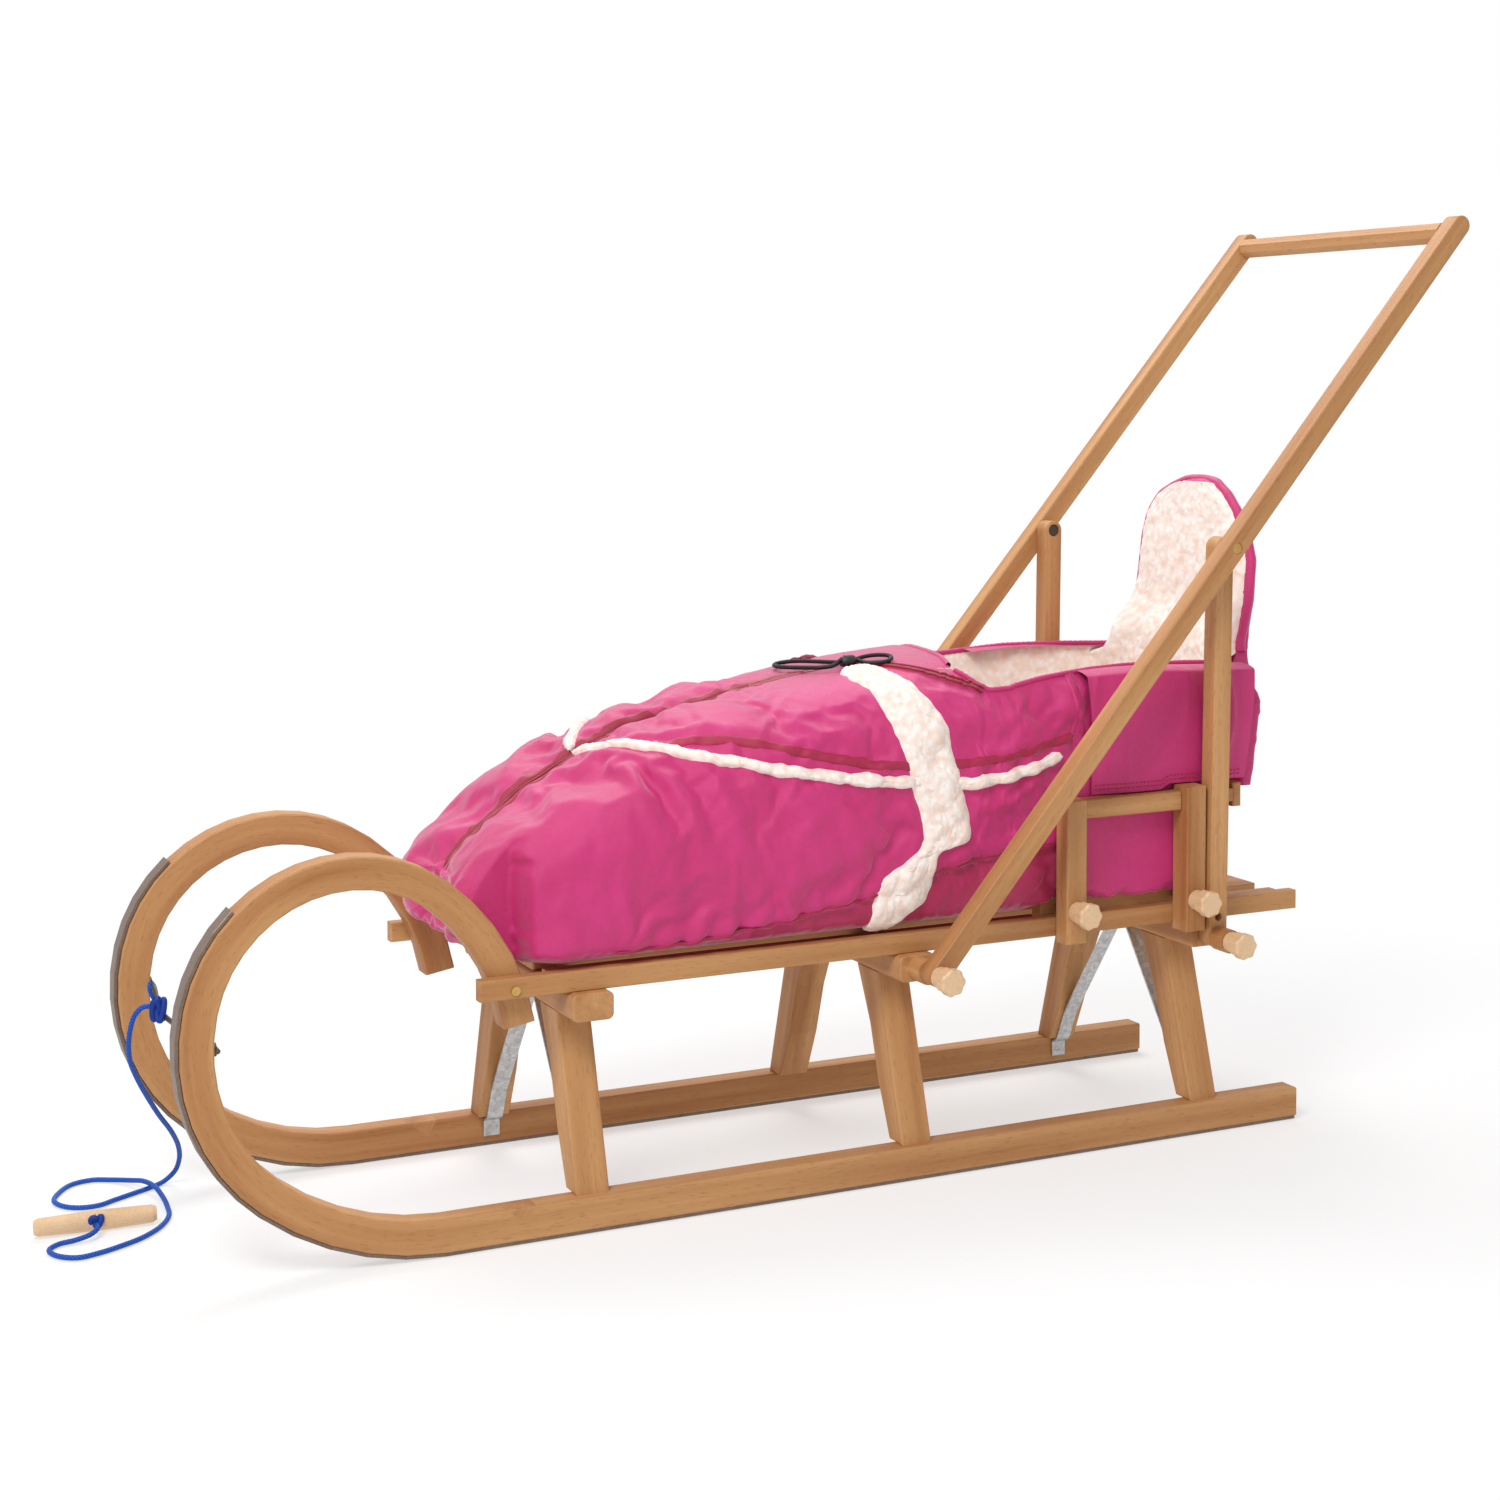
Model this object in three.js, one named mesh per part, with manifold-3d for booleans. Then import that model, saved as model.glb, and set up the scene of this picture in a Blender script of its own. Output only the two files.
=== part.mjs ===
// A wooden horn sled for a baby: bent runners with steel shoes, three crossbars on splayed legs,
// armrests with a back slat, a folding push handle, a fleece-lined foot muff and a pull cord.
// Millimetres. X is across (+X is the sled's left side), Y runs to the rear, Z is up.
// Stations along Y are counted from a plane across the two horn loops.

import * as THREE from "three";
import { mergeVertices } from "three/addons/utils/BufferGeometryUtils.js";
import Module from "manifold-3d";

const wasm = await Module();
wasm.setup();

// Runners and their shoes
const sledWide = 330;
const runnerWide = 26.8;
const runnerDeep = 31.6;
const runnerRear = 1047;
const shoeThick = 4.2;
const shoeInset = 3;
const shoeSoft = 0.8;
const riseStart = 53.5;
const hornRadii = [261.5, 176, 145.5, 210.6];
const hornTurns = [38.5, 64.2, 113.4, 44.3];
const hornFlat = 112;
const shoeEndHeading = 40;
const arcStep = 9;
const edgeSoft = 1.6;

// Crossbars, legs, rails and slats
const crossbarStations = { front: 206, middle: 566.4, rear: 927.6 };
const crossbarDeep = 27.5;
const crossbarLong = 43;
const crossbarInset = 6.5;
const crossbarRound = 6;
const legHeight = 170.2;
const legDeep = 35;
const legTopWide = 48;
const legTopInset = 60;
const legFootWide = 27;
const legFootInset = 10;
const legBendShares = [0.34, 0.69];
const legNarrowShares = [0.54, 0.62];
const tenonDeep = 18;
const tenonTopWide = 26;
const tenonWall = 4;
const tenonReach = 15;
const fitGap = 0.3;
const overrun = 1;
const railThick = 14.6;
const railDeep = 20.5;
const railInset = 17.2;
const railFront = 94.7;
const railRear = 1057.9;
const slatThick = 7.4;
const slatWide = 30;
const slatPlaces = { left: 85, centre: 0, right: -85 };
const slatCentreWide = 92;
const slatFront = 186;
const slatRear = 1079;
const woodSoft = 1.2;

// Horn screws, leg straps and the pulling bow
const hornScrewStation = 129.9;
const hornScrewHeight = 241.6;
const hornScrewRadius = 2.2;
const hornScrewHeadRadius = 4.6;
const hornScrewHeadHigh = 2.2;
const hornScrewReach = 16;
const strapWide = 18;
const strapThick = 2.2;
const strapLow = 12;
const strapKnee = 30;
const strapLegReach = 34;
const strapTopInner = 2;
const strapTopOuter = 15;
const bowRadius = 2.6;
const bowHeight = 217;
const bowForward = 16;
const bowPadRadius = 6.5;
const bowPadThick = 3.4;
const bowOver = 9;

// Armrests
const frontPostStation = 752;
const rearPostStation = 902;
const postLong = 25;
const frontPostThick = 22.2;
const rearPostThick = 27;
const frontPostOver = 11;
const rearPostOver = 16;
const postUnderRail = 5.5;
const armBarDeep = 20;
const armBarThick = 17.5;
const armBarHeight = 370;
const armTongueThick = 9.5;
const armTongueInset = 0.6;
const armTongueDeep = 14;
const armTongueRear = 962;
const backSlatThick = 11;
const backSlatDeep = 26;
const clampThick = 19;
const clampTop = 274;
const clampLip = 2.6;
const clampOver = 9;
const postBoltHeight = 262.5;

// Push handle
const handleAngle = 49.19;
const pushBarSquare = 21.9;
const pushBarPastCross = 10;
const strutPivotReach = 560.7;
const strutThick = 21.2;
const strutWide = 22.6;
const strutHoleRise = 22.4;
const strutHoleRadius = 4.2;
const strutGap = 0.7;
const crossHandleReach = 1017;
const crossHandleSquare = 23;
const crossHandleSides = 8;
const crossHandleTenon = 12;
const crossHandleTenonRadius = 7;
const spacerRadius = 12.85;
const pivotRadius = 3;
const pivotHeadRadius = 6;
const pivotHeadHigh = 3;
const pivotNutRadius = 7;
const pivotNutHigh = 4;
const pivotSink = 1;

// Knobs
const studRadius = 3.5;
const studReach = 26;
const knobNeckRadius = 11;
const knobNeckLong = 13;
const knobHeadRadius = 13.6;
const knobLobe = 0.9;
const knobLobes = 7;
const knobHeadThick = 15;
const knobSoft = 2;
const knobPoints = 35;

// Foot muff
const muffNose = 104;
const muffRear = 1000;
const muffRest = 0.8;
const muffHalfWide = 147;
const muffStationShares = [0, 0.023, 0.051, 0.096, 0.152, 0.219, 0.319, 0.42, 0.554, 0.665, 0.833, 1];
const muffTopShares = [0.297, 0.378, 0.444, 0.556, 0.655, 0.746, 0.823, 0.89, 0.95, 0.978, 0.967, 0.939];
const muffBaseShares = [0.07, 0.02, 0, 0, 0, 0, 0, 0, 0, 0, 0, 0];
const muffWideShares = [0.7, 0.82, 0.88, 0.93, 0.96, 0.98, 1, 1.02, 1.03, 1.02, 0.98, 0.97];
const muffTall = 285;
const muffRingPoints = 28;
const muffSquareness = 0.606;
const muffCavityFront = 625;
const muffCavityRear = 930;
const muffCavityHalf = 105;
const muffCavityFloor = 300;
const muffCavityFlare = 1.18;
const muffMouthOver = 60;
const footRoomFront = 330;
const footRoomHalf = 88;
const footRoomTop = 452;
const footRoomRound = 34;
const hoodHalfWide = 105;
const hoodShoulderHalf = 146;
const hoodShoulderHeight = 505;
const hoodNeckHeight = 545;
const hoodOverArmBar = 2;
const hoodBottom = armBarHeight + hoodOverArmBar;
const hoodTop = 711;
const hoodThick = 26;
const hoodLean = 8.5;
const hoodInMuff = 22;
const hoodFoot = muffRear - hoodInMuff;
const hoodSoft = 6;
const softGap = 0.6;

// Cords and the toggle
const pullCordRadius = 2.4;
const cordSides = 10;
const cordSteps = 78;
const knotHalfWide = 6;
const knotHalfDeep = 9;
const knotHalfTall = 12;
const knotForward = 3.4;
const knotRise = 6;
const toggleLong = 116;
const toggleRadius = 10;
const toggleEndRadius = 8.6;
const toggleRound = 4;
const toggleHoleRadius = 3.4;
const toggleCentre = [-55, -229.6];
const toggleTurn = 4;
const drawcordRadius = 2.1;
const drawcordSides = 8;
const drawcordSteps = 70;
const stopperLong = 18;
const stopperRadius = 7;
const stopperCentre = [36, 549, 525.4];

// The pull cord's route from the bow's knot down to the floor, round the toggle and into its hole
const pullCordRoute = [
  [0, -184.1, 228],
  [-0.5, -192, 228],
  [-2, -199, 222],
  [-4, -203, 211],
  [-10, -204.5, 193],
  [-22, -201, 172],
  [-38, -192, 151],
  [-58, -178.5, 126],
  [-84, -161, 97],
  [-110, -143.5, 71],
  [-135, -131, 47],
  [-152, -126.5, 28],
  [-162, -129, 13],
  [-163, -139, 4.2],
  [-153, -155, 2.6],
  [-141, -176, 2.6],
  [-130, -196, 2.6],
  [-120, -214, 2.6],
  [-121, -232, 2.6],
  [-132, -246, 2.6],
  [-152, -252, 2.6],
  [-176, -243, 2.6],
  [-197, -226, 2.6],
  [-202, -205, 2.6],
  [-194, -187, 2.6],
  [-177, -172, 5],
  [-158, -162, 8.4],
  [-138, -155, 8],
  [-115, -152, 4.4],
  [-88, -153, 2.6],
  [-58, -158, 2.6],
  [-31, -172, 2.6],
  [-8, -194, 2.6],
  [6, -217, 2.6],
  [16, -239, 2.6],
  [20, -260, 2.6],
  [8, -276, 2.6],
  [-12, -281, 2.6],
  [-24, -270, 2.8],
  [-26, -254, 3.6],
  [-27, -240, 6.4],
  [-32, -232.5, 9],
  [-39, -230.7, 10],
  [-46, -230.2, 10],
];

// The drawcord's bow on top of the muff: one loop to the front, one to the rear
const drawcordRoute = [
  [36, 539.2, 524.4],
  [35.5, 532, 519.5],
  [28, 521, 516.9],
  [13, 511, 515.7],
  [-7, 502, 514.3],
  [-26, 497, 513.4],
  [-41, 499, 513.4],
  [-49, 509, 514.4],
  [-43, 520, 516.2],
  [-27, 528, 517.8],
  [-8, 534.5, 518.9],
  [10, 541, 519.9],
  [21, 547, 520.6],
  [25.3, 555, 521.7],
  [24, 564, 523],
  [20, 574, 524.4],
  [21, 584, 525.9],
  [28, 592, 526.9],
  [40, 596, 527.1],
  [53, 592, 525.8],
  [60, 583, 523.8],
  [57, 572, 522.6],
  [49, 564, 522],
  [38.5, 559, 523.8],
];

const materials = {
  wood: { color: 0xc89a63, roughness: 0.55, metalness: 0 },
  paleWood: { color: 0xd8b483, roughness: 0.55, metalness: 0 },
  steel: { color: 0x8a8377, roughness: 0.4, metalness: 0.9 },
  zinc: { color: 0xb4b6b6, roughness: 0.45, metalness: 0.9 },
  brass: { color: 0xb08a45, roughness: 0.35, metalness: 0.9 },
  shell: { color: 0xc22c7a, roughness: 0.75, metalness: 0 },
  cord: { color: 0x0a5bc8, roughness: 0.7, metalness: 0 },
  black: { color: 0x15141a, roughness: 0.6, metalness: 0 },
};

// Sizes that follow from the ones above
const sledHalf = sledWide / 2;
const runnerTop = shoeThick + runnerDeep;
const crossbarBottom = runnerTop + legHeight;
const crossbarTop = crossbarBottom + crossbarDeep;
const crossbarHalf = sledHalf - crossbarInset;
const pivotHeight = crossbarBottom + crossbarDeep / 2;
const railOuter = sledHalf - railInset;
const railInner = railOuter - railThick;
const railTop = crossbarTop + railDeep;
const runnerInner = sledHalf - runnerWide;
const sides = { left: 1, right: -1 };

const sled = new THREE.Group();
const radians = THREE.MathUtils.degToRad;

// Turns a closed geometry into a solid that can be joined and cut.
function solid(geometry) {
  const bare = geometry.clone();
  bare.deleteAttribute("normal");
  bare.deleteAttribute("uv");
  const merged = mergeVertices(bare);
  const vertProperties = new Float32Array(merged.attributes.position.array);
  const triVerts = new Uint32Array(merged.index.array);
  return new wasm.Manifold(new wasm.Mesh({ numProp: 3, vertProperties, triVerts }));
}

// Turns a joined or cut solid back into a geometry.
function geometryOf(body) {
  const mesh = body.getMesh();
  const geometry = new THREE.BufferGeometry();
  geometry.setAttribute("position", new THREE.BufferAttribute(mesh.vertProperties, 3));
  geometry.setIndex(new THREE.BufferAttribute(mesh.triVerts, 1));
  geometry.computeVertexNormals();
  return geometry;
}

function cut(geometry, ...tools) {
  return geometryOf(tools.reduce((body, tool) => body.subtract(solid(tool)), solid(geometry)));
}

function join(geometry, ...others) {
  return geometryOf(others.reduce((body, other) => body.add(solid(other)), solid(geometry)));
}

function place(name, geometry, look, mirrored = false) {
  const material = new THREE.MeshStandardMaterial({ name, ...materials[look] });
  const mesh = new THREE.Mesh(geometry, material);
  mesh.name = name;
  mesh.scale.x = mirrored ? -1 : 1;
  sled.add(mesh);
  return mesh;
}

// Places a piece made for the left side on both sides.
function placePair(name, geometry, look) {
  for (const [side, sign] of Object.entries(sides)) place(`${name}_${side}`, geometry, look, sign < 0);
}

// An outline in Y and Z, extruded across the sled from x0 to x1 with softened edges.
const acrossAxes = new THREE.Matrix4().makeBasis(
  new THREE.Vector3(0, 1, 0),
  new THREE.Vector3(0, 0, 1),
  new THREE.Vector3(1, 0, 0),
);

function across(outline, x0, x1, soft, curveSegments = 12) {
  const geometry = new THREE.ExtrudeGeometry(outline, {
    depth: x1 - x0 - 2 * soft,
    bevelEnabled: soft > 0,
    bevelThickness: soft,
    bevelSize: soft,
    bevelOffset: -soft,
    bevelSegments: 1,
    curveSegments,
  });
  return geometry.applyMatrix4(acrossAxes).translate(x0 + soft, 0, 0);
}

// An outline in X and Z, extruded along the sled from y0 to y1.
const alongAxes = new THREE.Matrix4().makeBasis(
  new THREE.Vector3(1, 0, 0),
  new THREE.Vector3(0, 0, 1),
  new THREE.Vector3(0, -1, 0),
);

function along(outline, y0, y1, soft, curveSegments = 12) {
  const geometry = new THREE.ExtrudeGeometry(outline, {
    depth: y1 - y0 - 2 * soft,
    bevelEnabled: soft > 0,
    bevelThickness: soft,
    bevelSize: soft,
    bevelOffset: -soft,
    bevelSegments: 1,
    curveSegments,
  });
  return geometry.applyMatrix4(alongAxes).translate(0, y1 - soft, 0);
}

function rectangle(a0, a1, b0, b1) {
  return new THREE.Shape([
    new THREE.Vector2(a0, b0),
    new THREE.Vector2(a1, b0),
    new THREE.Vector2(a1, b1),
    new THREE.Vector2(a0, b1),
  ]);
}

function roundedRectangle(a0, a1, b0, b1, round) {
  const shape = new THREE.Shape();
  shape.absarc(a1 - round, b0 + round, round, -Math.PI / 2, 0);
  shape.absarc(a1 - round, b1 - round, round, 0, Math.PI / 2);
  shape.absarc(a0 + round, b1 - round, round, Math.PI / 2, Math.PI);
  shape.absarc(a0 + round, b0 + round, round, Math.PI, (3 * Math.PI) / 2);
  return shape;
}

function box(x0, x1, y0, y1, z0, z1) {
  const geometry = new THREE.BoxGeometry(x1 - x0, y1 - y0, z1 - z0);
  return geometry.translate((x0 + x1) / 2, (y0 + y1) / 2, (z0 + z1) / 2);
}

// A round bar along X.
function roundBar(radius, x0, x1, y, z, segments = 16) {
  const geometry = new THREE.CylinderGeometry(radius, radius, x1 - x0, segments);
  return geometry.rotateZ(-Math.PI / 2).translate((x0 + x1) / 2, y, z);
}

// The horn's middle line: tangent arcs that rise from the ground, roll over and come down.
function hornLine() {
  const line = [{ y: riseStart, z: shoeThick + runnerDeep / 2, heading: Math.PI, run: 0 }];
  let last = line[0];
  hornRadii.forEach((radius, arc) => {
    const turn = radians(hornTurns[arc]);
    const centreY = last.y + radius * Math.sin(last.heading);
    const centreZ = last.z - radius * Math.cos(last.heading);
    const start = last;
    const count = Math.ceil(hornTurns[arc] / arcStep);
    for (let step = 1; step <= count; step++) {
      const heading = start.heading - (turn * step) / count;
      last = {
        y: centreY - radius * Math.sin(heading),
        z: centreZ + radius * Math.cos(heading),
        heading,
        run: start.run + (radius * turn * step) / count,
      };
      line.push(last);
    }
  });
  return line;
}

const horn = hornLine();
const hornRun = horn[horn.length - 1].run;

// A point beside the horn's middle line, outwards by the given offset.
function besideHorn(at, offset) {
  return new THREE.Vector2(at.y - offset * Math.sin(at.heading), at.z + offset * Math.cos(at.heading));
}

// A closed skin through rings of equal point counts, with its two ends capped.
function loft(rings) {
  const count = rings[0].length;
  const points = rings.flat();
  const first = points.length;
  const middle = (line) =>
    line.reduce((sum, point) => sum.add(point), new THREE.Vector3()).divideScalar(line.length);
  points.push(middle(rings[0]), middle(rings[rings.length - 1]));
  const faces = [];
  rings.forEach((line, row) => {
    for (let i = 0; i < count; i++) {
      const next = (i + 1) % count;
      const [a, b] = [row * count + i, row * count + next];
      if (row === 0) faces.push(first, a, b);
      if (row === rings.length - 1) faces.push(first + 1, b, a);
      else faces.push(a, a + count, b, b, a + count, b + count);
    }
  });
  const geometry = new THREE.BufferGeometry().setFromPoints(points);
  geometry.setIndex(faces);
  return geometry;
}

// The horns lean inwards evenly along their run until they lie flat on the side rails.
const hornLeanRun = hornRun - hornFlat;
const hornLean = (at) => Math.min(at.run / hornLeanRun, 1) * (sledHalf - railInner);

// A band on the horn's line between two offsets and two places across, with softened edges.
function hornBand(stations, inner, outer, inboard, outboard, soft) {
  const corners = [
    [inboard, inner + soft],
    [inboard, outer - soft],
    [inboard + soft, outer],
    [outboard - soft, outer],
    [outboard, outer - soft],
    [outboard, inner + soft],
    [outboard - soft, inner],
    [inboard + soft, inner],
  ];
  const rear = { ...horn[0], y: runnerRear };
  const rings = [rear, ...stations].map((at) =>
    corners.map(([x, offset]) => {
      const beside = besideHorn(at, offset);
      return new THREE.Vector3(x - hornLean(at), beside.x, beside.y);
    }),
  );
  return loft(rings.map((line) => line.reverse()));
}

const halfWood = runnerDeep / 2;
const runnerWood = hornBand(horn, -halfWood, halfWood, runnerInner, sledHalf, edgeSoft);
const shod = horn.filter((at) => at.heading >= radians(shoeEndHeading));
const shoeBand = hornBand(
  shod,
  halfWood,
  halfWood + shoeThick,
  runnerInner + shoeInset,
  sledHalf - shoeInset,
  shoeSoft,
);
placePair("runner_shoe", shoeBand, "steel");

// Legs: splayed, narrowing to the foot, with a tenon at each end
const legTopOuter = sledHalf - legTopInset;
const legFootOuter = sledHalf - legFootInset;

function legOuter(share) {
  return legTopOuter + (legFootOuter - legTopOuter) * share;
}

const legHeights = [0, ...legBendShares, 1];
const legNarrowings = [0, ...legNarrowShares, 1];
const legInnerEdge = legHeights.map((share, i) => {
  const width = legTopWide + (legFootWide - legTopWide) * legNarrowings[i];
  return new THREE.Vector2(legOuter(share) - width, crossbarBottom - legHeight * share);
});

function legInner(z) {
  const last = legInnerEdge.length - 1;
  const lower = legInnerEdge.findIndex((point, i) => i === last || (i > 0 && point.y <= z));
  const [above, below] = [legInnerEdge[lower - 1], legInnerEdge[lower]];
  return THREE.MathUtils.mapLinear(z, above.y, below.y, above.x, below.x);
}

const legOutline = new THREE.Shape([
  ...legInnerEdge,
  new THREE.Vector2(legFootOuter, runnerTop),
  new THREE.Vector2(legTopOuter, crossbarBottom),
]);
const topTenonX = legTopOuter - legTopWide / 2;

function tenons(station, gap) {
  const halfDeep = tenonDeep / 2 + gap;
  const halfTop = tenonTopWide / 2 + gap;
  const [y0, y1] = [station - halfDeep, station + halfDeep];
  const footIn = runnerInner + tenonWall - gap;
  const footOut = legFootOuter - tenonWall + gap;
  const reach = tenonReach + gap;
  return [
    box(topTenonX - halfTop, topTenonX + halfTop, y0, y1, crossbarBottom - overrun, crossbarBottom + reach),
    box(footIn, footOut, y0, y1, runnerTop - reach, runnerTop + overrun),
  ];
}

const mirror = new THREE.Matrix4().makeScale(-1, 1, 1);

function mirrored(geometry) {
  const copy = geometry.clone().applyMatrix4(mirror);
  const corners = copy.index ? copy.index.array : null;
  const flipped = corners ? copy : copy.setIndex([...Array(copy.attributes.position.count).keys()]);
  const order = flipped.index.array;
  for (let i = 0; i < order.length; i += 3) [order[i], order[i + 1]] = [order[i + 1], order[i]];
  return flipped;
}

const stations = Object.values(crossbarStations);
const hornScrewHole = roundBar(
  hornScrewRadius + fitGap,
  railInner - hornScrewReach - fitGap,
  railOuter + overrun,
  hornScrewStation,
  hornScrewHeight,
);
const footMortises = stations.map((station) => tenons(station, fitGap)[1]);
const mortisedRunner = cut(runnerWood, ...footMortises, hornScrewHole);
placePair("runner", mortisedRunner, "wood");

for (const [name, station] of Object.entries(crossbarStations)) {
  const blank = along(legOutline, station - legDeep / 2, station + legDeep / 2, woodSoft);
  placePair(`leg_${name}`, join(blank, ...tenons(station, 0)), "paleWood");
}

// Crossbars: rounded boards, mortised for the legs and bored at the ends for the knobs' studs
const boredCrossbars = ["middle", "rear"];
for (const [name, station] of Object.entries(crossbarStations)) {
  const halfLong = crossbarLong / 2;
  const outline = roundedRectangle(
    station - halfLong,
    station + halfLong,
    crossbarBottom,
    crossbarTop,
    crossbarRound,
  );
  const board = across(outline, -crossbarHalf, crossbarHalf, woodSoft, 3);
  const mortise = tenons(station, fitGap)[0];
  const bores = boredCrossbars.includes(name)
    ? Object.values(sides).map((sign) => {
        const ends = [crossbarHalf - studReach, crossbarHalf + overrun].map((x) => x * sign);
        return roundBar(studRadius + fitGap, Math.min(...ends), Math.max(...ends), station, pivotHeight);
      })
    : [];
  place(`crossbar_${name}`, cut(board, mortise, mirrored(mortise), ...bores), "wood");
}

// Side rails on edge and flat slats between them
const railOutline = rectangle(railFront, railRear, crossbarTop, railTop);
placePair("side_rail", cut(across(railOutline, railInner, railOuter, woodSoft), hornScrewHole), "wood");

for (const [name, x] of Object.entries(slatPlaces)) {
  const half = (x === 0 ? slatCentreWide : slatWide) / 2;
  const outline = rectangle(slatFront, slatRear, crossbarTop, crossbarTop + slatThick);
  place(`seat_slat_${name}`, across(outline, x - half, x + half, woodSoft), "wood");
}

// Horn screws: a round head outside the rail, the shank in the horn
const hornScrewBar = (radius, x0, x1, segments) =>
  roundBar(radius, x0, x1, hornScrewStation, hornScrewHeight, segments);
const hornScrew = join(
  hornScrewBar(hornScrewRadius, railInner - hornScrewReach, railOuter + overrun, 10),
  hornScrewBar(hornScrewHeadRadius, railOuter, railOuter + hornScrewHeadHigh, 14),
);
placePair("horn_screw", hornScrew, "brass");

// Straps: folded steel strips from the runner up the leg and over to the crossbar
function offsetLine(points, offset) {
  return points.map((point, i) => {
    const before = points[Math.max(i - 1, 0)];
    const after = points[Math.min(i + 1, points.length - 1)];
    const into = i > 0 ? point.clone().sub(before).normalize() : after.clone().sub(point).normalize();
    const out = i < points.length - 1 ? after.clone().sub(point).normalize() : into;
    const normal = new THREE.Vector2(-into.y - out.y, into.x + out.x).normalize();
    const stretch = normal.dot(new THREE.Vector2(-into.y, into.x));
    return point.clone().addScaledVector(normal, offset / stretch);
  });
}

const strapLegTop = runnerTop + strapLegReach;
const strapSeat = [
  new THREE.Vector2(runnerInner, strapLow),
  new THREE.Vector2(runnerInner, strapKnee),
  new THREE.Vector2(legInner(runnerTop), runnerTop),
  new THREE.Vector2(legInner(strapLegTop), strapLegTop),
  new THREE.Vector2(strapTopOuter, crossbarBottom),
  new THREE.Vector2(strapTopInner, crossbarBottom),
];
const strapOutline = new THREE.Shape([
  ...offsetLine(strapSeat, fitGap),
  ...offsetLine(strapSeat, fitGap + strapThick).reverse(),
]);
for (const name of ["front", "rear"]) {
  const station = crossbarStations[name];
  const strap = along(strapOutline, station - strapWide / 2, station + strapWide / 2, 0);
  placePair(`strap_${name}`, strap, "zinc");
}

// The pulling bow: a rod along the horns' hollow sides, drawn forward in the middle
const hornFront = horn.reduce((best, at) => (at.y < best.y ? at : best), horn[0]);
const bowStation = hornFront.y + halfWood + bowPadThick + fitGap;
const bowEnd = sledHalf - hornLean(hornFront) - runnerWide / 2;
const bowLine = new THREE.CatmullRomCurve3([
  new THREE.Vector3(-bowEnd - bowOver, bowStation, bowHeight),
  new THREE.Vector3(-bowEnd + bowOver, bowStation, bowHeight),
  new THREE.Vector3(0, bowStation - bowForward, bowHeight),
  new THREE.Vector3(bowEnd - bowOver, bowStation, bowHeight),
  new THREE.Vector3(bowEnd + bowOver, bowStation, bowHeight),
]);

function ring(radius, count) {
  const shape = new THREE.Shape();
  const points = Array.from({ length: count }, (_, i) => {
    const angle = (2 * Math.PI * i) / count;
    return new THREE.Vector2(radius * Math.cos(angle), radius * Math.sin(angle));
  });
  shape.setFromPoints(points);
  return shape;
}

function tube(line, radius, count, steps) {
  return new THREE.ExtrudeGeometry(ring(radius, count), { steps, extrudePath: line, bevelEnabled: false });
}

const bowPad = (sign) =>
  new THREE.CylinderGeometry(bowPadRadius, bowPadRadius, bowPadThick, 16)
    .translate(sign * bowEnd, bowStation - bowPadThick / 2, bowHeight);
place("pull_bow", join(tube(bowLine, bowRadius, 10, 40), bowPad(1), bowPad(-1)), "steel");

// Armrests: posts bolted over the rails to inner clamp boards, bars on the posts, a slat behind
const boltBore = (x0, x1, station) =>
  roundBar(studRadius + fitGap, x0, x1, station, postBoltHeight);
const postRuns = {
  front: { station: frontPostStation, thick: frontPostThick, top: armBarHeight + frontPostOver },
  rear: { station: rearPostStation, thick: rearPostThick, top: armBarHeight + rearPostOver },
};
const armBarTop = armBarHeight + armBarDeep / 2;
const armBarLow = armBarHeight - armBarDeep / 2;
const tongueLow = armBarHeight - armTongueDeep / 2;
const tongueTop = armBarHeight + armTongueDeep / 2;
const tongueInner = railOuter + armTongueInset;
const barFront = frontPostStation + postLong / 2;
const barRear = rearPostStation - postLong / 2;

const armTongue = (gap) =>
  box(
    tongueInner - gap,
    tongueInner + armTongueThick + gap,
    barFront - armTongueDeep - gap,
    armTongueRear + gap,
    tongueLow - gap,
    tongueTop + gap,
  );
const crossbarNotch = box(
  railOuter - overrun,
  crossbarHalf + fitGap,
  crossbarStations.rear - crossbarLong / 2 - fitGap,
  crossbarStations.rear,
  crossbarBottom,
  crossbarTop + fitGap,
);

for (const [name, post] of Object.entries(postRuns)) {
  const outline = rectangle(
    post.station - postLong / 2,
    post.station + postLong / 2,
    crossbarTop - postUnderRail,
    post.top,
  );
  const blank = across(outline, railOuter, railOuter + post.thick, woodSoft);
  const bore = boltBore(railOuter - overrun, railOuter + post.thick + overrun, post.station);
  placePair(`arm_post_${name}`, cut(blank, bore, armTongue(fitGap), crossbarNotch), "wood");
}

const barOutline = rectangle(barFront + fitGap, barRear - fitGap, armBarLow, armBarTop);
const armBar = join(across(barOutline, railOuter, railOuter + armBarThick, woodSoft), armTongue(0));
placePair("arm_bar", armBar, "wood");

const slatHalf = tongueInner + armTongueThick;
const backSlatOutline = rectangle(
  armTongueRear,
  armTongueRear + backSlatThick,
  armBarHeight - backSlatDeep / 2,
  armBarHeight + backSlatDeep / 2,
);
place("back_slat", across(backSlatOutline, -slatHalf, slatHalf, woodSoft), "wood");

const clampOuter = railInner - fitGap;
const clampInner = clampOuter - clampThick;
const clampOutline = rectangle(
  frontPostStation - postLong / 2 - clampOver,
  rearPostStation + postLong / 2 + clampOver,
  crossbarTop + clampLip,
  clampTop,
);
const clampBores = [frontPostStation, rearPostStation].map((station) =>
  boltBore(clampInner - overrun, clampOuter + overrun, station),
);
const clampBlank = across(clampOutline, clampInner, clampOuter, woodSoft);
placePair("clamp_board", cut(clampBlank, ...clampBores), "wood");

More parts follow.
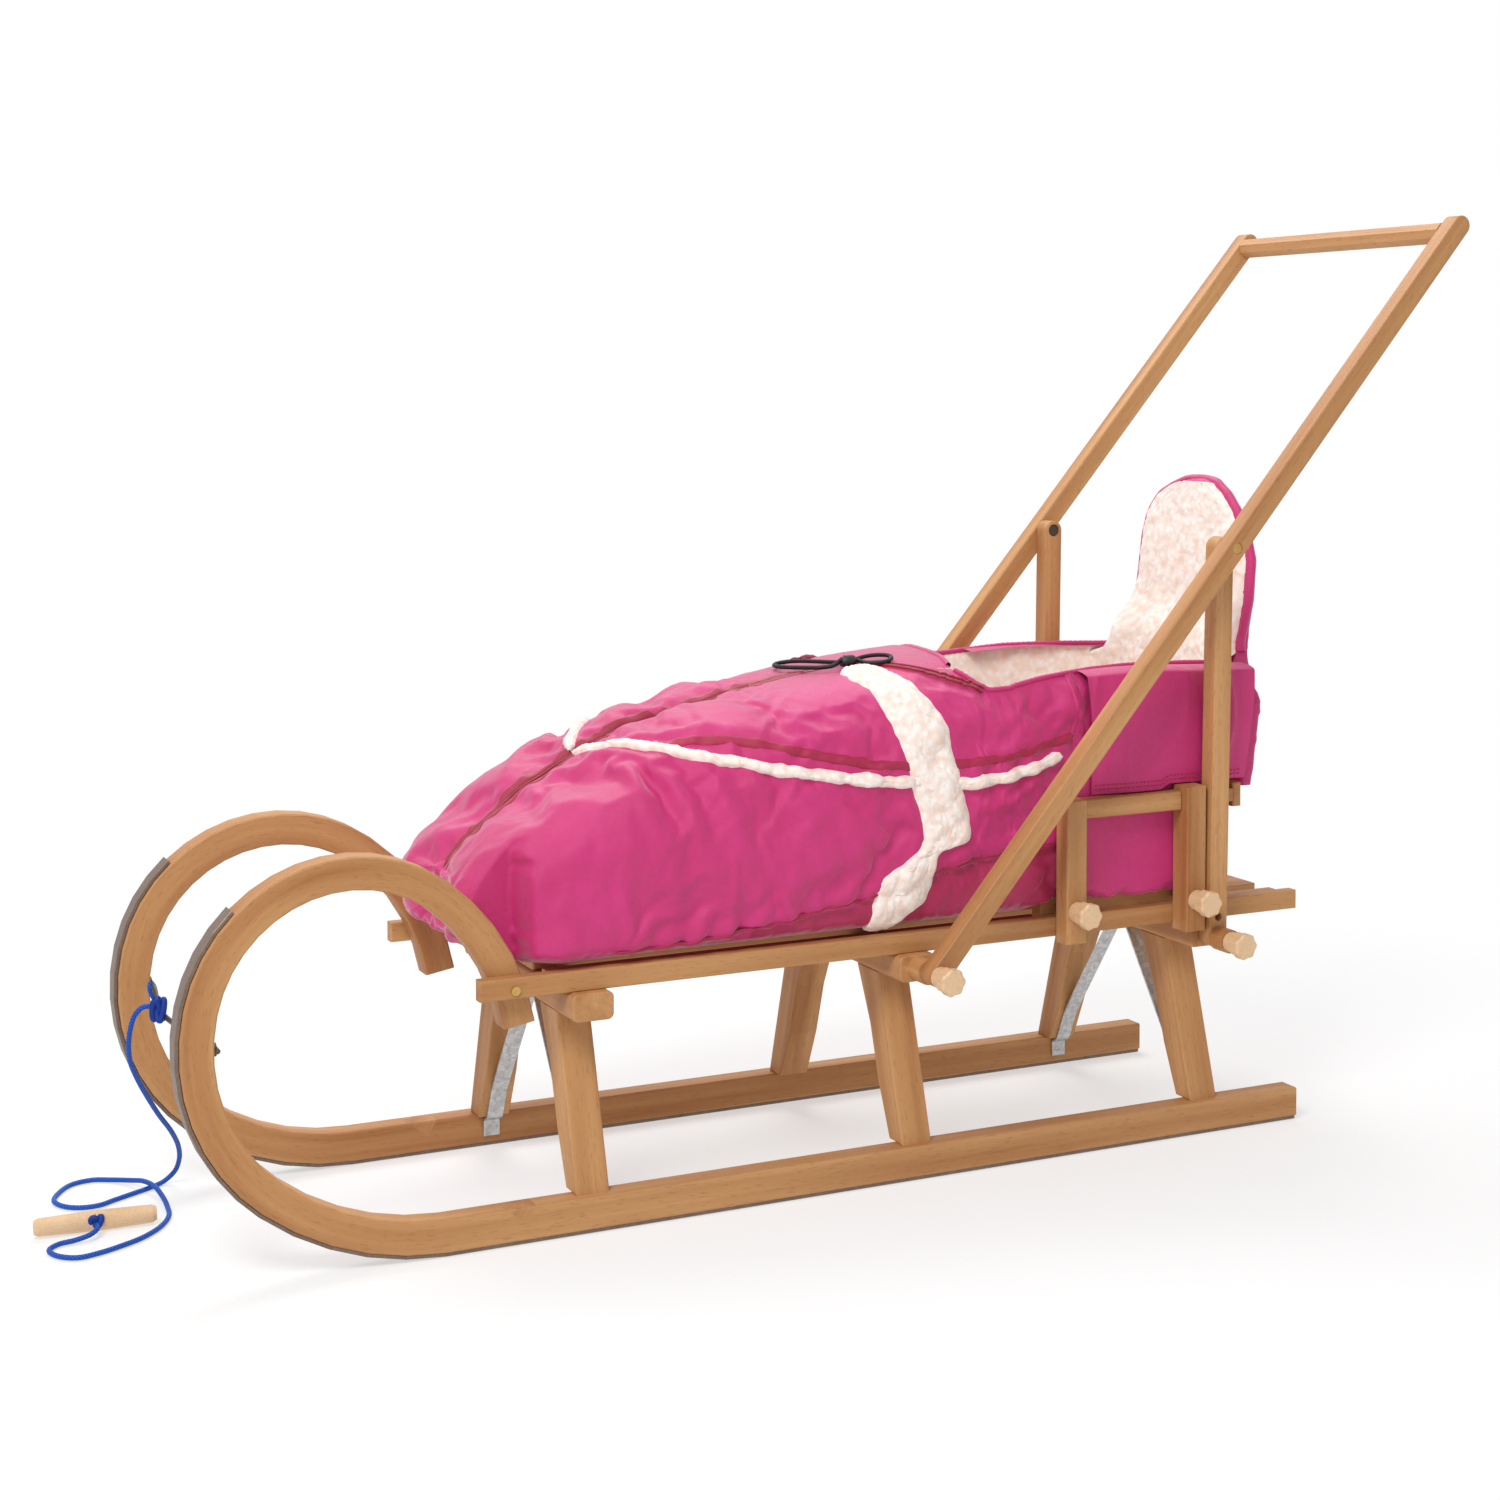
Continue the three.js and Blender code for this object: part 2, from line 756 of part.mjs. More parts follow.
// Knobs: a turned neck, a lobed head and a steel stud, all along X from the neck's foot
function knob(foot, studEnd, station, height) {
  const points = Array.from({ length: knobPoints }, (_, i) => {
    const angle = (2 * Math.PI * i) / knobPoints;
    const radius = knobHeadRadius + knobLobe * Math.cos(knobLobes * angle);
    return new THREE.Vector2(station + radius * Math.cos(angle), height + radius * Math.sin(angle));
  });
  const neckEnd = foot + knobNeckLong;
  const head = across(new THREE.Shape(points), neckEnd, neckEnd + knobHeadThick, knobSoft);
  const neck = roundBar(knobNeckRadius, foot, neckEnd + overrun, station, height, 20);
  const stud = roundBar(studRadius, studEnd, foot + overrun, station, height, 12);
  return join(head, neck, stud);
}

const barInner = crossbarHalf + strutGap + strutThick;
const barOuter = barInner + pushBarSquare;
const postKnobEnd = clampInner - overrun;
const knobFoots = {
  knob_arm_front: [railOuter + frontPostThick, postKnobEnd, frontPostStation, postBoltHeight],
  knob_arm_rear: [railOuter + rearPostThick, postKnobEnd, rearPostStation, postBoltHeight],
  knob_push_bar: [barOuter, crossbarHalf - studReach + fitGap, crossbarStations.middle, pivotHeight],
  knob_strut: [barOuter, crossbarHalf + strutGap, crossbarStations.rear, pivotHeight],
};
for (const [name, [foot, end, station, height]] of Object.entries(knobFoots)) {
  placePair(name, knob(foot + fitGap, end, station, height), "paleWood");
}

// Push handle: two bars on the middle crossbar's ends, a cross handle and two struts
const middleY = crossbarStations.middle;
const rearY = crossbarStations.rear;
const handleTurn = radians(handleAngle);

// A point on the push bar's middle line, counted up from its pivot.
function onPushBar(reach) {
  return new THREE.Vector2(
    middleY + reach * Math.cos(handleTurn),
    pivotHeight + reach * Math.sin(handleTurn),
  );
}

function roundEnded(from, to, halfWide, holes) {
  const shape = new THREE.Shape();
  const heading = Math.atan2(to.y - from.y, to.x - from.x);
  shape.absarc(to.x, to.y, halfWide, heading - Math.PI / 2, heading + Math.PI / 2);
  shape.absarc(from.x, from.y, halfWide, heading + Math.PI / 2, heading + (3 * Math.PI) / 2);
  for (const [centre, radius] of holes) {
    const hole = new THREE.Path();
    hole.absarc(centre.x, centre.y, radius, 0, 2 * Math.PI, true);
    shape.holes.push(hole);
  }
  return shape;
}

const barFoot = onPushBar(0);
const strutPivot = onPushBar(strutPivotReach);
const barCross = onPushBar(crossHandleReach);
const strutFoot = new THREE.Vector2(rearY, pivotHeight);
const barBlank = across(
  roundEnded(barFoot, onPushBar(crossHandleReach + pushBarPastCross), pushBarSquare / 2, []),
  barInner,
  barOuter,
  woodSoft,
  8,
);
const tenonBore = roundBar(
  crossHandleTenonRadius + fitGap,
  barInner - overrun,
  barInner + crossHandleTenon + fitGap,
  barCross.x,
  barCross.y,
);
const footBore = roundBar(
  studRadius + fitGap,
  barInner - overrun,
  barOuter + overrun,
  barFoot.x,
  barFoot.y,
);
const pivotBore = roundBar(
  pivotRadius + fitGap,
  barInner - overrun,
  barOuter + overrun,
  strutPivot.x,
  strutPivot.y,
  14,
);
const pivotRecess = roundBar(
  pivotHeadRadius + fitGap,
  barOuter - pivotHeadHigh - pivotSink,
  barOuter + overrun,
  strutPivot.x,
  strutPivot.y,
);
placePair("push_bar", cut(barBlank, tenonBore, footBore, pivotBore, pivotRecess), "wood");

const crossCorner = crossHandleSquare / 2;
const crossShape = new THREE.Shape(
  Array.from({ length: crossHandleSides }, (_, i) => {
    const angle = (2 * Math.PI * (i + 1 / 2)) / crossHandleSides + handleTurn;
    const radius = crossCorner / Math.cos(Math.PI / crossHandleSides);
    return new THREE.Vector2(barCross.x + radius * Math.cos(angle), barCross.y + radius * Math.sin(angle));
  }),
);
const crossReach = barInner - fitGap + crossHandleTenon;
const crossHandle = join(
  across(crossShape, -barInner + fitGap, barInner - fitGap, 0),
  roundBar(crossHandleTenonRadius, -crossReach, crossReach, barCross.x, barCross.y),
);
place("cross_handle", crossHandle, "wood");

const strutInner = crossbarHalf + strutGap;
const strutUp = strutPivot.clone().sub(strutFoot).normalize();
const spareHole = strutFoot.clone().addScaledVector(strutUp, strutHoleRise);
const strutOutline = roundEnded(strutFoot, strutPivot, strutWide / 2, [[spareHole, strutHoleRadius]]);
const strutBlank = across(strutOutline, strutInner, barInner - fitGap, woodSoft, 6);
const strutFootBore = roundBar(
  studRadius + fitGap,
  strutInner - overrun,
  barInner + overrun,
  strutFoot.x,
  strutFoot.y,
);
const strutPivotBore = roundBar(
  pivotRadius + fitGap,
  strutInner - overrun,
  barInner + overrun,
  strutPivot.x,
  strutPivot.y,
  14,
);
const nutRecess = roundBar(
  pivotNutRadius + fitGap,
  strutInner - overrun,
  strutInner + pivotNutHigh + pivotSink,
  strutPivot.x,
  strutPivot.y,
);
placePair("strut", cut(strutBlank, strutFootBore, strutPivotBore, nutRecess), "wood");

// Pivot screws: a sunk head outside, a nut in the strut's inner face
const screwHeadEnd = barOuter - pivotSink;
const screwHeadFoot = screwHeadEnd - pivotHeadHigh + fitGap;
const nutEnd = strutInner + pivotSink;
const pivotScrew = join(
  roundBar(pivotRadius, nutEnd, screwHeadEnd, strutPivot.x, strutPivot.y, 14),
  roundBar(pivotHeadRadius, screwHeadFoot, screwHeadEnd, strutPivot.x, strutPivot.y),
  roundBar(pivotNutRadius, nutEnd, nutEnd + pivotNutHigh - fitGap, strutPivot.x, strutPivot.y, 6),
);
placePair("pivot_screw", pivotScrew, "brass");

// Spacers: turned wooden barrels that fill the width beside a bar or a strut
function spacer(x0, x1, at) {
  const bore = roundBar(studRadius + fitGap, x0 - overrun, x1 + overrun, at.x, at.y, 14);
  return cut(roundBar(spacerRadius, x0, x1, at.x, at.y, 28), bore);
}
placePair("spacer_push_bar", spacer(crossbarHalf, barInner - fitGap, barFoot), "wood");
placePair("spacer_strut", spacer(barInner, barOuter, strutFoot), "wood");

// Foot muff: a lofted bag between the rails and posts, open at the mouth, with an upright hood
const muffFloor = railTop + muffRest;

// A soft box section: flat below, gently crowned above, with full sides.
function muffRing(station, halfWide, low, high) {
  const centre = (low + high) / 2;
  return Array.from({ length: muffRingPoints }, (_, i) => {
    const angle = (2 * Math.PI * (i + 1 / 2)) / muffRingPoints;
    const [c, s] = [Math.cos(angle), Math.sin(angle)];
    const across = Math.sign(c) * Math.abs(c) ** muffSquareness;
    const up = Math.sign(s) * Math.abs(s) ** (s > 0 ? muffSquareness : muffSquareness / 2);
    return new THREE.Vector3(across * halfWide, station, centre + (up * (high - low)) / 2);
  });
}

const muffRings = muffStationShares.map((share, i) =>
  muffRing(
    THREE.MathUtils.lerp(muffNose, muffRear, share),
    muffHalfWide * muffWideShares[i],
    muffFloor + muffTall * muffBaseShares[i],
    muffFloor + muffTall * muffTopShares[i],
  ),
);

const cavityRings = [muffCavityFloor, hoodShoulderHeight + muffMouthOver].map((height, level) => {
  const spread = level === 0 ? 1 : muffCavityFlare;
  const middle = (muffCavityFront + muffCavityRear) / 2;
  const half = ((muffCavityRear - muffCavityFront) / 2) * spread;
  return Array.from({ length: muffRingPoints }, (_, i) => {
    const angle = (-2 * Math.PI * i) / muffRingPoints;
    const x = Math.sign(Math.cos(angle)) * Math.abs(Math.cos(angle)) ** muffSquareness;
    const y = Math.sign(Math.sin(angle)) * Math.abs(Math.sin(angle)) ** muffSquareness;
    return new THREE.Vector3(x * muffCavityHalf * spread, middle + y * half, height);
  });
});

// The hood: a padded headboard that leans back from its foot behind the back slat
const hoodOutline = new THREE.Shape();
hoodOutline.moveTo(-hoodShoulderHalf, hoodBottom);
hoodOutline.lineTo(hoodShoulderHalf, hoodBottom);
hoodOutline.lineTo(hoodShoulderHalf, hoodShoulderHeight);
hoodOutline.quadraticCurveTo(hoodHalfWide, hoodShoulderHeight, hoodHalfWide, hoodNeckHeight);
hoodOutline.lineTo(hoodHalfWide, hoodTop - hoodHalfWide);
hoodOutline.absarc(0, hoodTop - hoodHalfWide, hoodHalfWide, 0, Math.PI);
hoodOutline.lineTo(-hoodHalfWide, hoodNeckHeight);
hoodOutline.quadraticCurveTo(-hoodHalfWide, hoodShoulderHeight, -hoodShoulderHalf, hoodShoulderHeight);

function leanBack(geometry) {
  const slope = Math.tan(radians(hoodLean));
  const places = geometry.attributes.position;
  for (let i = 0; i < places.count; i++) {
    places.setY(i, places.getY(i) + slope * (places.getZ(i) - hoodBottom));
  }
  return geometry;
}
const hood = leanBack(along(hoodOutline, hoodFoot, hoodFoot + hoodThick, hoodSoft, 10));
place("muff_hood", hood, "shell");

const hoodRoom = leanBack(
  box(-sledHalf, sledHalf, hoodFoot - softGap, muffRear + sledHalf, hoodBottom - sledHalf, hoodTop),
);
const slatRoom = box(
  -sledHalf,
  sledHalf,
  armTongueRear - softGap,
  muffRear + sledHalf,
  muffFloor - overrun,
  armBarHeight + backSlatDeep / 2 + softGap,
);
const clampRoom = (sign) =>
  box(
    Math.min(sign * (clampInner - softGap - overrun), sign * (sledHalf)),
    Math.max(sign * (clampInner - softGap - overrun), sign * (sledHalf)),
    frontPostStation - postLong / 2 - clampOver - softGap,
    rearPostStation + postLong / 2 + clampOver + softGap,
    muffFloor - overrun,
    clampTop + softGap,
  );
const hornEnd = horn[horn.length - 1];
const hornRoom = (sign) =>
  box(
    Math.min(sign * (railInner - runnerWide - softGap), sign * sledHalf),
    Math.max(sign * (railInner - runnerWide - softGap), sign * sledHalf),
    muffNose - overrun,
    hornEnd.y + halfWood + softGap,
    muffFloor - overrun,
    muffFloor + runnerTop + legHeight,
  );
const postRoom = (sign) =>
  box(
    Math.min(sign * (railOuter - softGap), sign * sledWide),
    Math.max(sign * (railOuter - softGap), sign * sledWide),
    frontPostStation - postLong / 2 - softGap,
    muffRear + overrun,
    muffFloor - overrun,
    postRuns.rear.top + softGap,
  );
// The room for the feet, forward from the seat under the closed top
const footRoom = along(
  roundedRectangle(-footRoomHalf, footRoomHalf, muffCavityFloor, footRoomTop, footRoomRound),
  footRoomFront,
  (muffCavityFront + muffCavityRear) / 2,
  0,
  4,
);
const muffBody = cut(
  loft(muffRings),
  loft(cavityRings),
  footRoom,
  hoodRoom,
  slatRoom,
  ...Object.values(sides).flatMap((sign) => [clampRoom(sign), hornRoom(sign), postRoom(sign)]),
);
place("muff_body", muffBody, "shell");

// Pull cord, its knot on the bow and the turned toggle on the floor
const vectors = (route) => route.map((point) => new THREE.Vector3(...point));
const pullCordLine = new THREE.CatmullRomCurve3(vectors(pullCordRoute));
place("pull_cord", tube(pullCordLine, pullCordRadius, cordSides, cordSteps), "cord");

const knot = new THREE.SphereGeometry(1, 14, 10)
  .scale(knotHalfWide, knotHalfDeep, knotHalfTall)
  .translate(0, bowStation - bowForward - knotForward, bowHeight + knotRise);
const bowRoom = tube(bowLine, bowRadius + fitGap, 10, 40);
place("cord_knot", cut(knot, bowRoom), "cord");

const toggleProfile = [
  new THREE.Vector2(0, -toggleLong / 2),
  new THREE.Vector2(toggleEndRadius - toggleRound / 2, -toggleLong / 2),
  new THREE.Vector2(toggleEndRadius, -toggleLong / 2 + toggleRound),
  new THREE.Vector2(toggleRadius, 0),
  new THREE.Vector2(toggleEndRadius, toggleLong / 2 - toggleRound),
  new THREE.Vector2(toggleEndRadius - toggleRound / 2, toggleLong / 2),
  new THREE.Vector2(0, toggleLong / 2),
];
const toggleBlank = new THREE.LatheGeometry(toggleProfile, 20);
const toggleHole = new THREE.CylinderGeometry(toggleHoleRadius, toggleHoleRadius, 3 * toggleRadius, 12);
const toggle = cut(toggleBlank, toggleHole.rotateZ(Math.PI / 2))
  .rotateZ(radians(-toggleTurn))
  .translate(toggleCentre[0], toggleCentre[1], toggleRadius);
place("toggle_handle", toggle, "paleWood");

// The muff's drawcord and its stopper
const drawcordLine = new THREE.CatmullRomCurve3(vectors(drawcordRoute));
place("muff_drawcord", tube(drawcordLine, drawcordRadius, drawcordSides, drawcordSteps), "black");
const stopper = new THREE.CapsuleGeometry(stopperRadius, stopperLong - 2 * stopperRadius, 4, 12)
  .translate(...stopperCentre);
place("cord_stopper", stopper, "black");

// The origin: the middle of the sled's footprint on the ground, measured without the cords
const cords = ["pull_cord", "cord_knot", "toggle_handle", "muff_drawcord", "cord_stopper"];
const extent = new THREE.Box3();
for (const piece of sled.children) {
  if (!cords.includes(piece.name)) extent.expandByObject(piece);
}
const middleOfSled = extent.getCenter(new THREE.Vector3());
sled.position.set(-middleOfSled.x, -middleOfSled.y, -extent.min.z);
console.log("pull cord length, mm:", Math.round(pullCordLine.getLength()));
console.log("drawcord length, mm:", Math.round(drawcordLine.getLength()));
console.log("origin station, mm:", middleOfSled.y.toFixed(3));

export default sled;
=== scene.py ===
# %% [markdown]
# # A wooden horn sled for a baby, with a foot muff
# This notebook dresses a sled whose solid parts come from a imported CAD model. The wood, steel and
# brass pieces keep their CAD shapes and only get finishes here. The soft pieces, which CAD holds
# as plain blocks, are built again as cloth, fleece and cord. The first cell loads the model and
# fixes the seed of Blender's noise. That seed otherwise comes from the clock, and the folds of the
# cloth would differ from run to run.

# %% Load the imported sled
import math

import bpy
import numpy as np
from mathutils import Matrix, Vector, noise
from mathutils.bvhtree import BVHTree
from mathutils.kdtree import KDTree


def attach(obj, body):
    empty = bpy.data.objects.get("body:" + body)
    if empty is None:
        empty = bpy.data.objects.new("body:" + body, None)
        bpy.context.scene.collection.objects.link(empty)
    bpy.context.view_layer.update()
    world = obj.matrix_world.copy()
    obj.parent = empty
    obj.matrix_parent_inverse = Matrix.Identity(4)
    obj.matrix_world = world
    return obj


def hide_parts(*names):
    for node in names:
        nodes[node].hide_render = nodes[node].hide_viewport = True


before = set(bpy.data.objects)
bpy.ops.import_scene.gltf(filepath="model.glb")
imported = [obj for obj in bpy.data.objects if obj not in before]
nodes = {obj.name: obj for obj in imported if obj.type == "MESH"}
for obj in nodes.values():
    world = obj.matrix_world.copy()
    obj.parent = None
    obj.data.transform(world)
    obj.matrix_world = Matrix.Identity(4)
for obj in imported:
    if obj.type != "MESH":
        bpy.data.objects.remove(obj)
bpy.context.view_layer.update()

NOISE_SEED = 2
noise.seed_set(NOISE_SEED)
FRAME_BODY = "sled_frame"

# %% [markdown]
# Every size below is in millimetres, the way a joiner would write it. Stations along the sled are
# counted from a plane across the two horn loops, so one small function turns such a place into
# Blender's metres and into the CAD model's own frame. Writing it once keeps every later cell
# short.

# %% Places in millimetres
ORIGIN_STATION = 526.565


def at(x, station, height):
    return Vector((x, station - ORIGIN_STATION, height)) / 1000


def places(points):
    return [at(*point) for point in points]


print("the middle crossbar's bolt is at", [round(v, 4) for v in at(0, 566.4, 219.75)])

# %% [markdown]
# ## The camera
# The photograph was taken from the sled's left side and a little in front, from about the height
# of a seated person's eyes. A long lens keeps the runners nearly parallel. The optical axis is
# above the middle of the picture, which a vertical shift of the lens reproduces without tilting
# the camera.

# %% Camera at the photograph's viewing angle
AZIMUTH, ELEVATION, ROLL = (math.radians(v) for v in (64.30, 2.66, -0.06))
EYE = at(2332.2, -672.0, 823.2)
SENSOR_WIDTH, FOCAL_LENGTH, LENS_SHIFT_UP = 36.0, 58.756, -0.1697
FARTHEST_SEEN = 60.0
level = math.cos(ELEVATION)
away = Vector((-math.sin(AZIMUTH) * level, math.cos(AZIMUTH) * level, -math.sin(ELEVATION)))
camera_data = bpy.data.cameras.new("camera")
camera_data.sensor_width = SENSOR_WIDTH
camera_data.lens = FOCAL_LENGTH
camera_data.shift_y = LENS_SHIFT_UP
camera_data.clip_end = FARTHEST_SEEN
camera = bpy.data.objects.new("camera", camera_data)
bpy.context.scene.collection.objects.link(camera)
camera.rotation_mode = "QUATERNION"
facing = away.to_track_quat("-Z", "Y")
camera.rotation_quaternion = facing @ Matrix.Rotation(ROLL, 3, "Z").to_quaternion()
camera.location = EYE
bpy.context.scene.camera = camera
bpy.context.scene.view_settings.view_transform = "Standard"
print("camera is", round(EYE.length, 2), "m from the sled's middle")

# %% [markdown]
# ## A small language for finishes
# Blender builds a finish from nodes. Wiring them one by one is slow to read, so a `Wire` wraps the
# output of one node and understands plus, minus, times, divided by, more and less: each operator
# adds one Math node. A `Finish` is one material, and its `node` method makes any other kind of
# node in one line.

# %% The Wire and Finish helpers
class Wire:
    def __init__(self, finish, socket):
        self.finish = finish
        self.socket = socket

    def _math(self, operation, *values, clamp=False):
        sockets = dict(enumerate(values))
        settings = {"operation": operation, "use_clamp": clamp}
        return self.finish.node("ShaderNodeMath", settings, sockets)

    def __add__(self, other):
        return self._math("ADD", self, other)

    def __radd__(self, other):
        return self._math("ADD", other, self)

    def __sub__(self, other):
        return self._math("SUBTRACT", self, other)

    def __rsub__(self, other):
        return self._math("SUBTRACT", other, self)

    def __mul__(self, other):
        return self._math("MULTIPLY", self, other)

    def __rmul__(self, other):
        return self._math("MULTIPLY", other, self)

    def __truediv__(self, other):
        return self._math("DIVIDE", self, other)

    def __gt__(self, other):
        return self._math("GREATER_THAN", self, other)

    def __lt__(self, other):
        return self._math("LESS_THAN", self, other)

    def sine(self):
        return self._math("SINE", self)

    def size(self):
        return self._math("ABSOLUTE", self)

    def root(self):
        return self._math("SQRT", self)

    def angle_from(self, other):
        return self._math("ARCTAN2", self, other)

    def clamped(self):
        return self._math("ADD", self, 0.0, clamp=True)


class Finish:
    def __init__(self, name):
        self.material = bpy.data.materials.new(name)
        self.material.use_nodes = True
        self.tree = self.material.node_tree
        self.tree.nodes.clear()
        self.output = self.tree.nodes.new("ShaderNodeOutputMaterial")

    def node(self, kind, settings=None, sockets=None, out=0):
        made = self.tree.nodes.new(kind)
        for key, value in (settings or {}).items():
            if key == "stops":
                ramp = made.color_ramp
                while len(ramp.elements) < len(value):
                    ramp.elements.new(1.0)
                for stop, (place, colour) in zip(ramp.elements, value):
                    stop.position = place
                    stop.color = colour
            else:
                setattr(made, key, value)
        for key, value in (sockets or {}).items():
            if isinstance(value, Wire):
                self.tree.links.new(value.socket, made.inputs[key])
            else:
                made.inputs[key].default_value = value
        return Wire(self, made.outputs[out])

    def place(self):
        return self.node("ShaderNodeTexCoord", out="Object")

    def parts(self, vector):
        split = self.node("ShaderNodeSeparateXYZ", None, {0: vector})
        outputs = split.socket.node.outputs
        return [Wire(self, outputs[i]) for i in range(3)]

    def joined(self, x, y, z):
        return self.node("ShaderNodeCombineXYZ", None, {0: x, 1: y, 2: z})

    def noise(self, vector, scale, detail=3.0, rough=0.5, distortion=0.0):
        sockets = {
            "Vector": vector, "Scale": scale, "Detail": detail, "Roughness": rough,
            "Distortion": distortion,
        }
        return self.node("ShaderNodeTexNoise", {"noise_dimensions": "3D"}, sockets)

    def cells(self, vector, scale, feature="F1", out="Distance"):
        sockets = {"Vector": vector, "Scale": scale}
        return self.node("ShaderNodeTexVoronoi", {"feature": feature}, sockets, out)

    def ramp(self, value, *stops):
        coloured = [(place, colour4(colour)) for place, colour in stops]
        return self.node("ShaderNodeValToRGB", {"stops": coloured}, {0: value})

    def mix(self, factor, a, b, blend="MIX"):
        a, b = (c if isinstance(c, Wire) else colour4(c) for c in (a, b))
        settings = {"data_type": "RGBA", "blend_type": blend}
        return self.node("ShaderNodeMix", settings, {0: factor, 6: a, 7: b}, 2)

    def bump(self, height, strength, distance):
        sockets = {"Height": height, "Strength": strength, "Distance": distance}
        return self.node("ShaderNodeBump", None, sockets)

    def shaded(self, **sockets):
        named = {key.replace("_", " "): value for key, value in sockets.items()}
        shader = self.node("ShaderNodeBsdfPrincipled", None, named)
        self.tree.links.new(shader.socket, self.output.inputs["Surface"])
        return self.material


def colour4(colour):
    return (*colour[:3], 1.0)


def written(red, green, blue):
    """A colour as it is read off a picture, 0 to 255, in the renderer's linear light."""
    shares = [v / 255 for v in (red, green, blue)]
    return tuple(v / 12.92 if v <= 0.04045 else ((v + 0.055) / 1.055) ** 2.4 for v in shares)


print("helpers ready")

# %% [markdown]
# ## Tubes for cords
# A cord is a fixed length of something limp, so it starts as a route and not as a shape. The route
# is a smooth curve through chosen points, and a tube is swept along it. The tube's rings also
# carry the braid: every strand of a braided cord passes over and under, which shows as small
# scales.

# %% Curves and swept tubes
STEPS_PER_SPAN = 24


def smooth_route(points, spacing):
    """The curve that the CAD cord follows: Catmull-Rom with centripetal knots, evenly spaced."""
    line = [2 * points[0] - points[1], *points, 2 * points[-1] - points[-2]]
    out = []
    for a, b, c, d in zip(line, line[1:], line[2:], line[3:]):
        t1 = (b - a).length ** 0.5
        t2 = t1 + (c - b).length ** 0.5
        t3 = t2 + (d - c).length ** 0.5
        for step in range(STEPS_PER_SPAN):
            t = t1 + (t2 - t1) * step / STEPS_PER_SPAN
            a1 = a * (t1 - t) / t1 + b * t / t1
            a2 = b * (t2 - t) / (t2 - t1) + c * (t - t1) / (t2 - t1)
            a3 = c * (t3 - t) / (t3 - t2) + d * (t - t2) / (t3 - t2)
            b1 = a1 * (t2 - t) / t2 + a2 * t / t2
            b2 = a2 * (t3 - t) / (t3 - t1) + a3 * (t - t1) / (t3 - t1)
            out.append(b1 * (t2 - t) / (t2 - t1) + b2 * (t - t1) / (t2 - t1))
    out.append(points[-1].copy())
    runs = np.cumsum([0.0, *((q - p).length for p, q in zip(out, out[1:]))])
    even = np.linspace(0, runs[-1], max(2, round(runs[-1] / spacing)))
    array = np.array(out)
    return [Vector([np.interp(s, runs, array[:, k]) for k in range(3)]) for s in even], runs[-1]


def new_piece(name, vertices, faces, finish, uvs=None, smooth=True):
    mesh = bpy.data.meshes.new(name)
    mesh.from_pydata([tuple(v) for v in vertices], [], faces)
    mesh.update()
    if uvs is not None:
        layer = mesh.uv_layers.new(name="UVMap")
        loops = np.zeros(len(mesh.loops), np.int32)
        mesh.loops.foreach_get("vertex_index", loops)
        layer.data.foreach_set("uv", np.asarray(uvs, np.float32)[loops].ravel())
    mesh.polygons.foreach_set("use_smooth", [smooth] * len(mesh.polygons))
    mesh.materials.append(finish)
    piece = bpy.data.objects.new(name, mesh)
    bpy.context.scene.collection.objects.link(piece)
    return piece


def grid_faces(rows, columns, closed):
    faces = []
    for row in range(rows - 1):
        for column in range(columns if closed else columns - 1):
            following = (column + 1) % columns
            a, b = row * columns + column, row * columns + following
            faces.append((a, b, b + columns, a + columns))
    return faces


def tube_rings(path, radius_at, sides):
    """Rings round a path, carried along without twist, with the surface radius from a function."""
    last = len(path) - 1
    tangents = [
        (path[min(i + 1, last)] - path[max(i - 1, 0)]).normalized() for i in range(last + 1)
    ]
    side = tangents[0].orthogonal().normalized()
    rings, run = [], 0.0
    for i, (point, tangent) in enumerate(zip(path, tangents)):
        if i:
            run += (point - path[i - 1]).length
            side = (side - tangent * side.dot(tangent)).normalized()
        up = tangent.cross(side)
        for k in range(sides):
            angle = 2 * math.pi * k / sides
            radius = radius_at(run, angle)
            rings.append(point + (side * math.cos(angle) + up * math.sin(angle)) * radius)
    return rings


def plain_tube(name, path, radius_at, sides, finish, uvs=None):
    """A tube round a path with open ends."""
    rings = tube_rings(path, radius_at, sides)
    return new_piece(name, rings, grid_faces(len(path), sides, True), finish, uvs)


def braided_tube(name, path, length, radius, finish, strands=8, sides=24):
    pitch = radius * 2.6

    def radius_at(run, angle):
        one = math.sin(run * 2 * math.pi / pitch + angle * strands / 4)
        other = math.sin(run * 2 * math.pi / pitch - angle * strands / 4)
        return radius * (0.93 + 0.07 * abs(one) * abs(other))

    rings = tube_rings(path, radius_at, sides)
    rows = len(path)
    faces = grid_faces(rows, sides, True)
    faces.append(tuple(reversed(range(sides))))
    faces.append(tuple((rows - 1) * sides + k for k in range(sides)))
    spacing = length / (rows - 1)
    uvs = [(k / sides, row * spacing) for row in range(rows) for k in range(sides)]
    return new_piece(name, rings, faces, finish, uvs)


print("tube helpers ready")
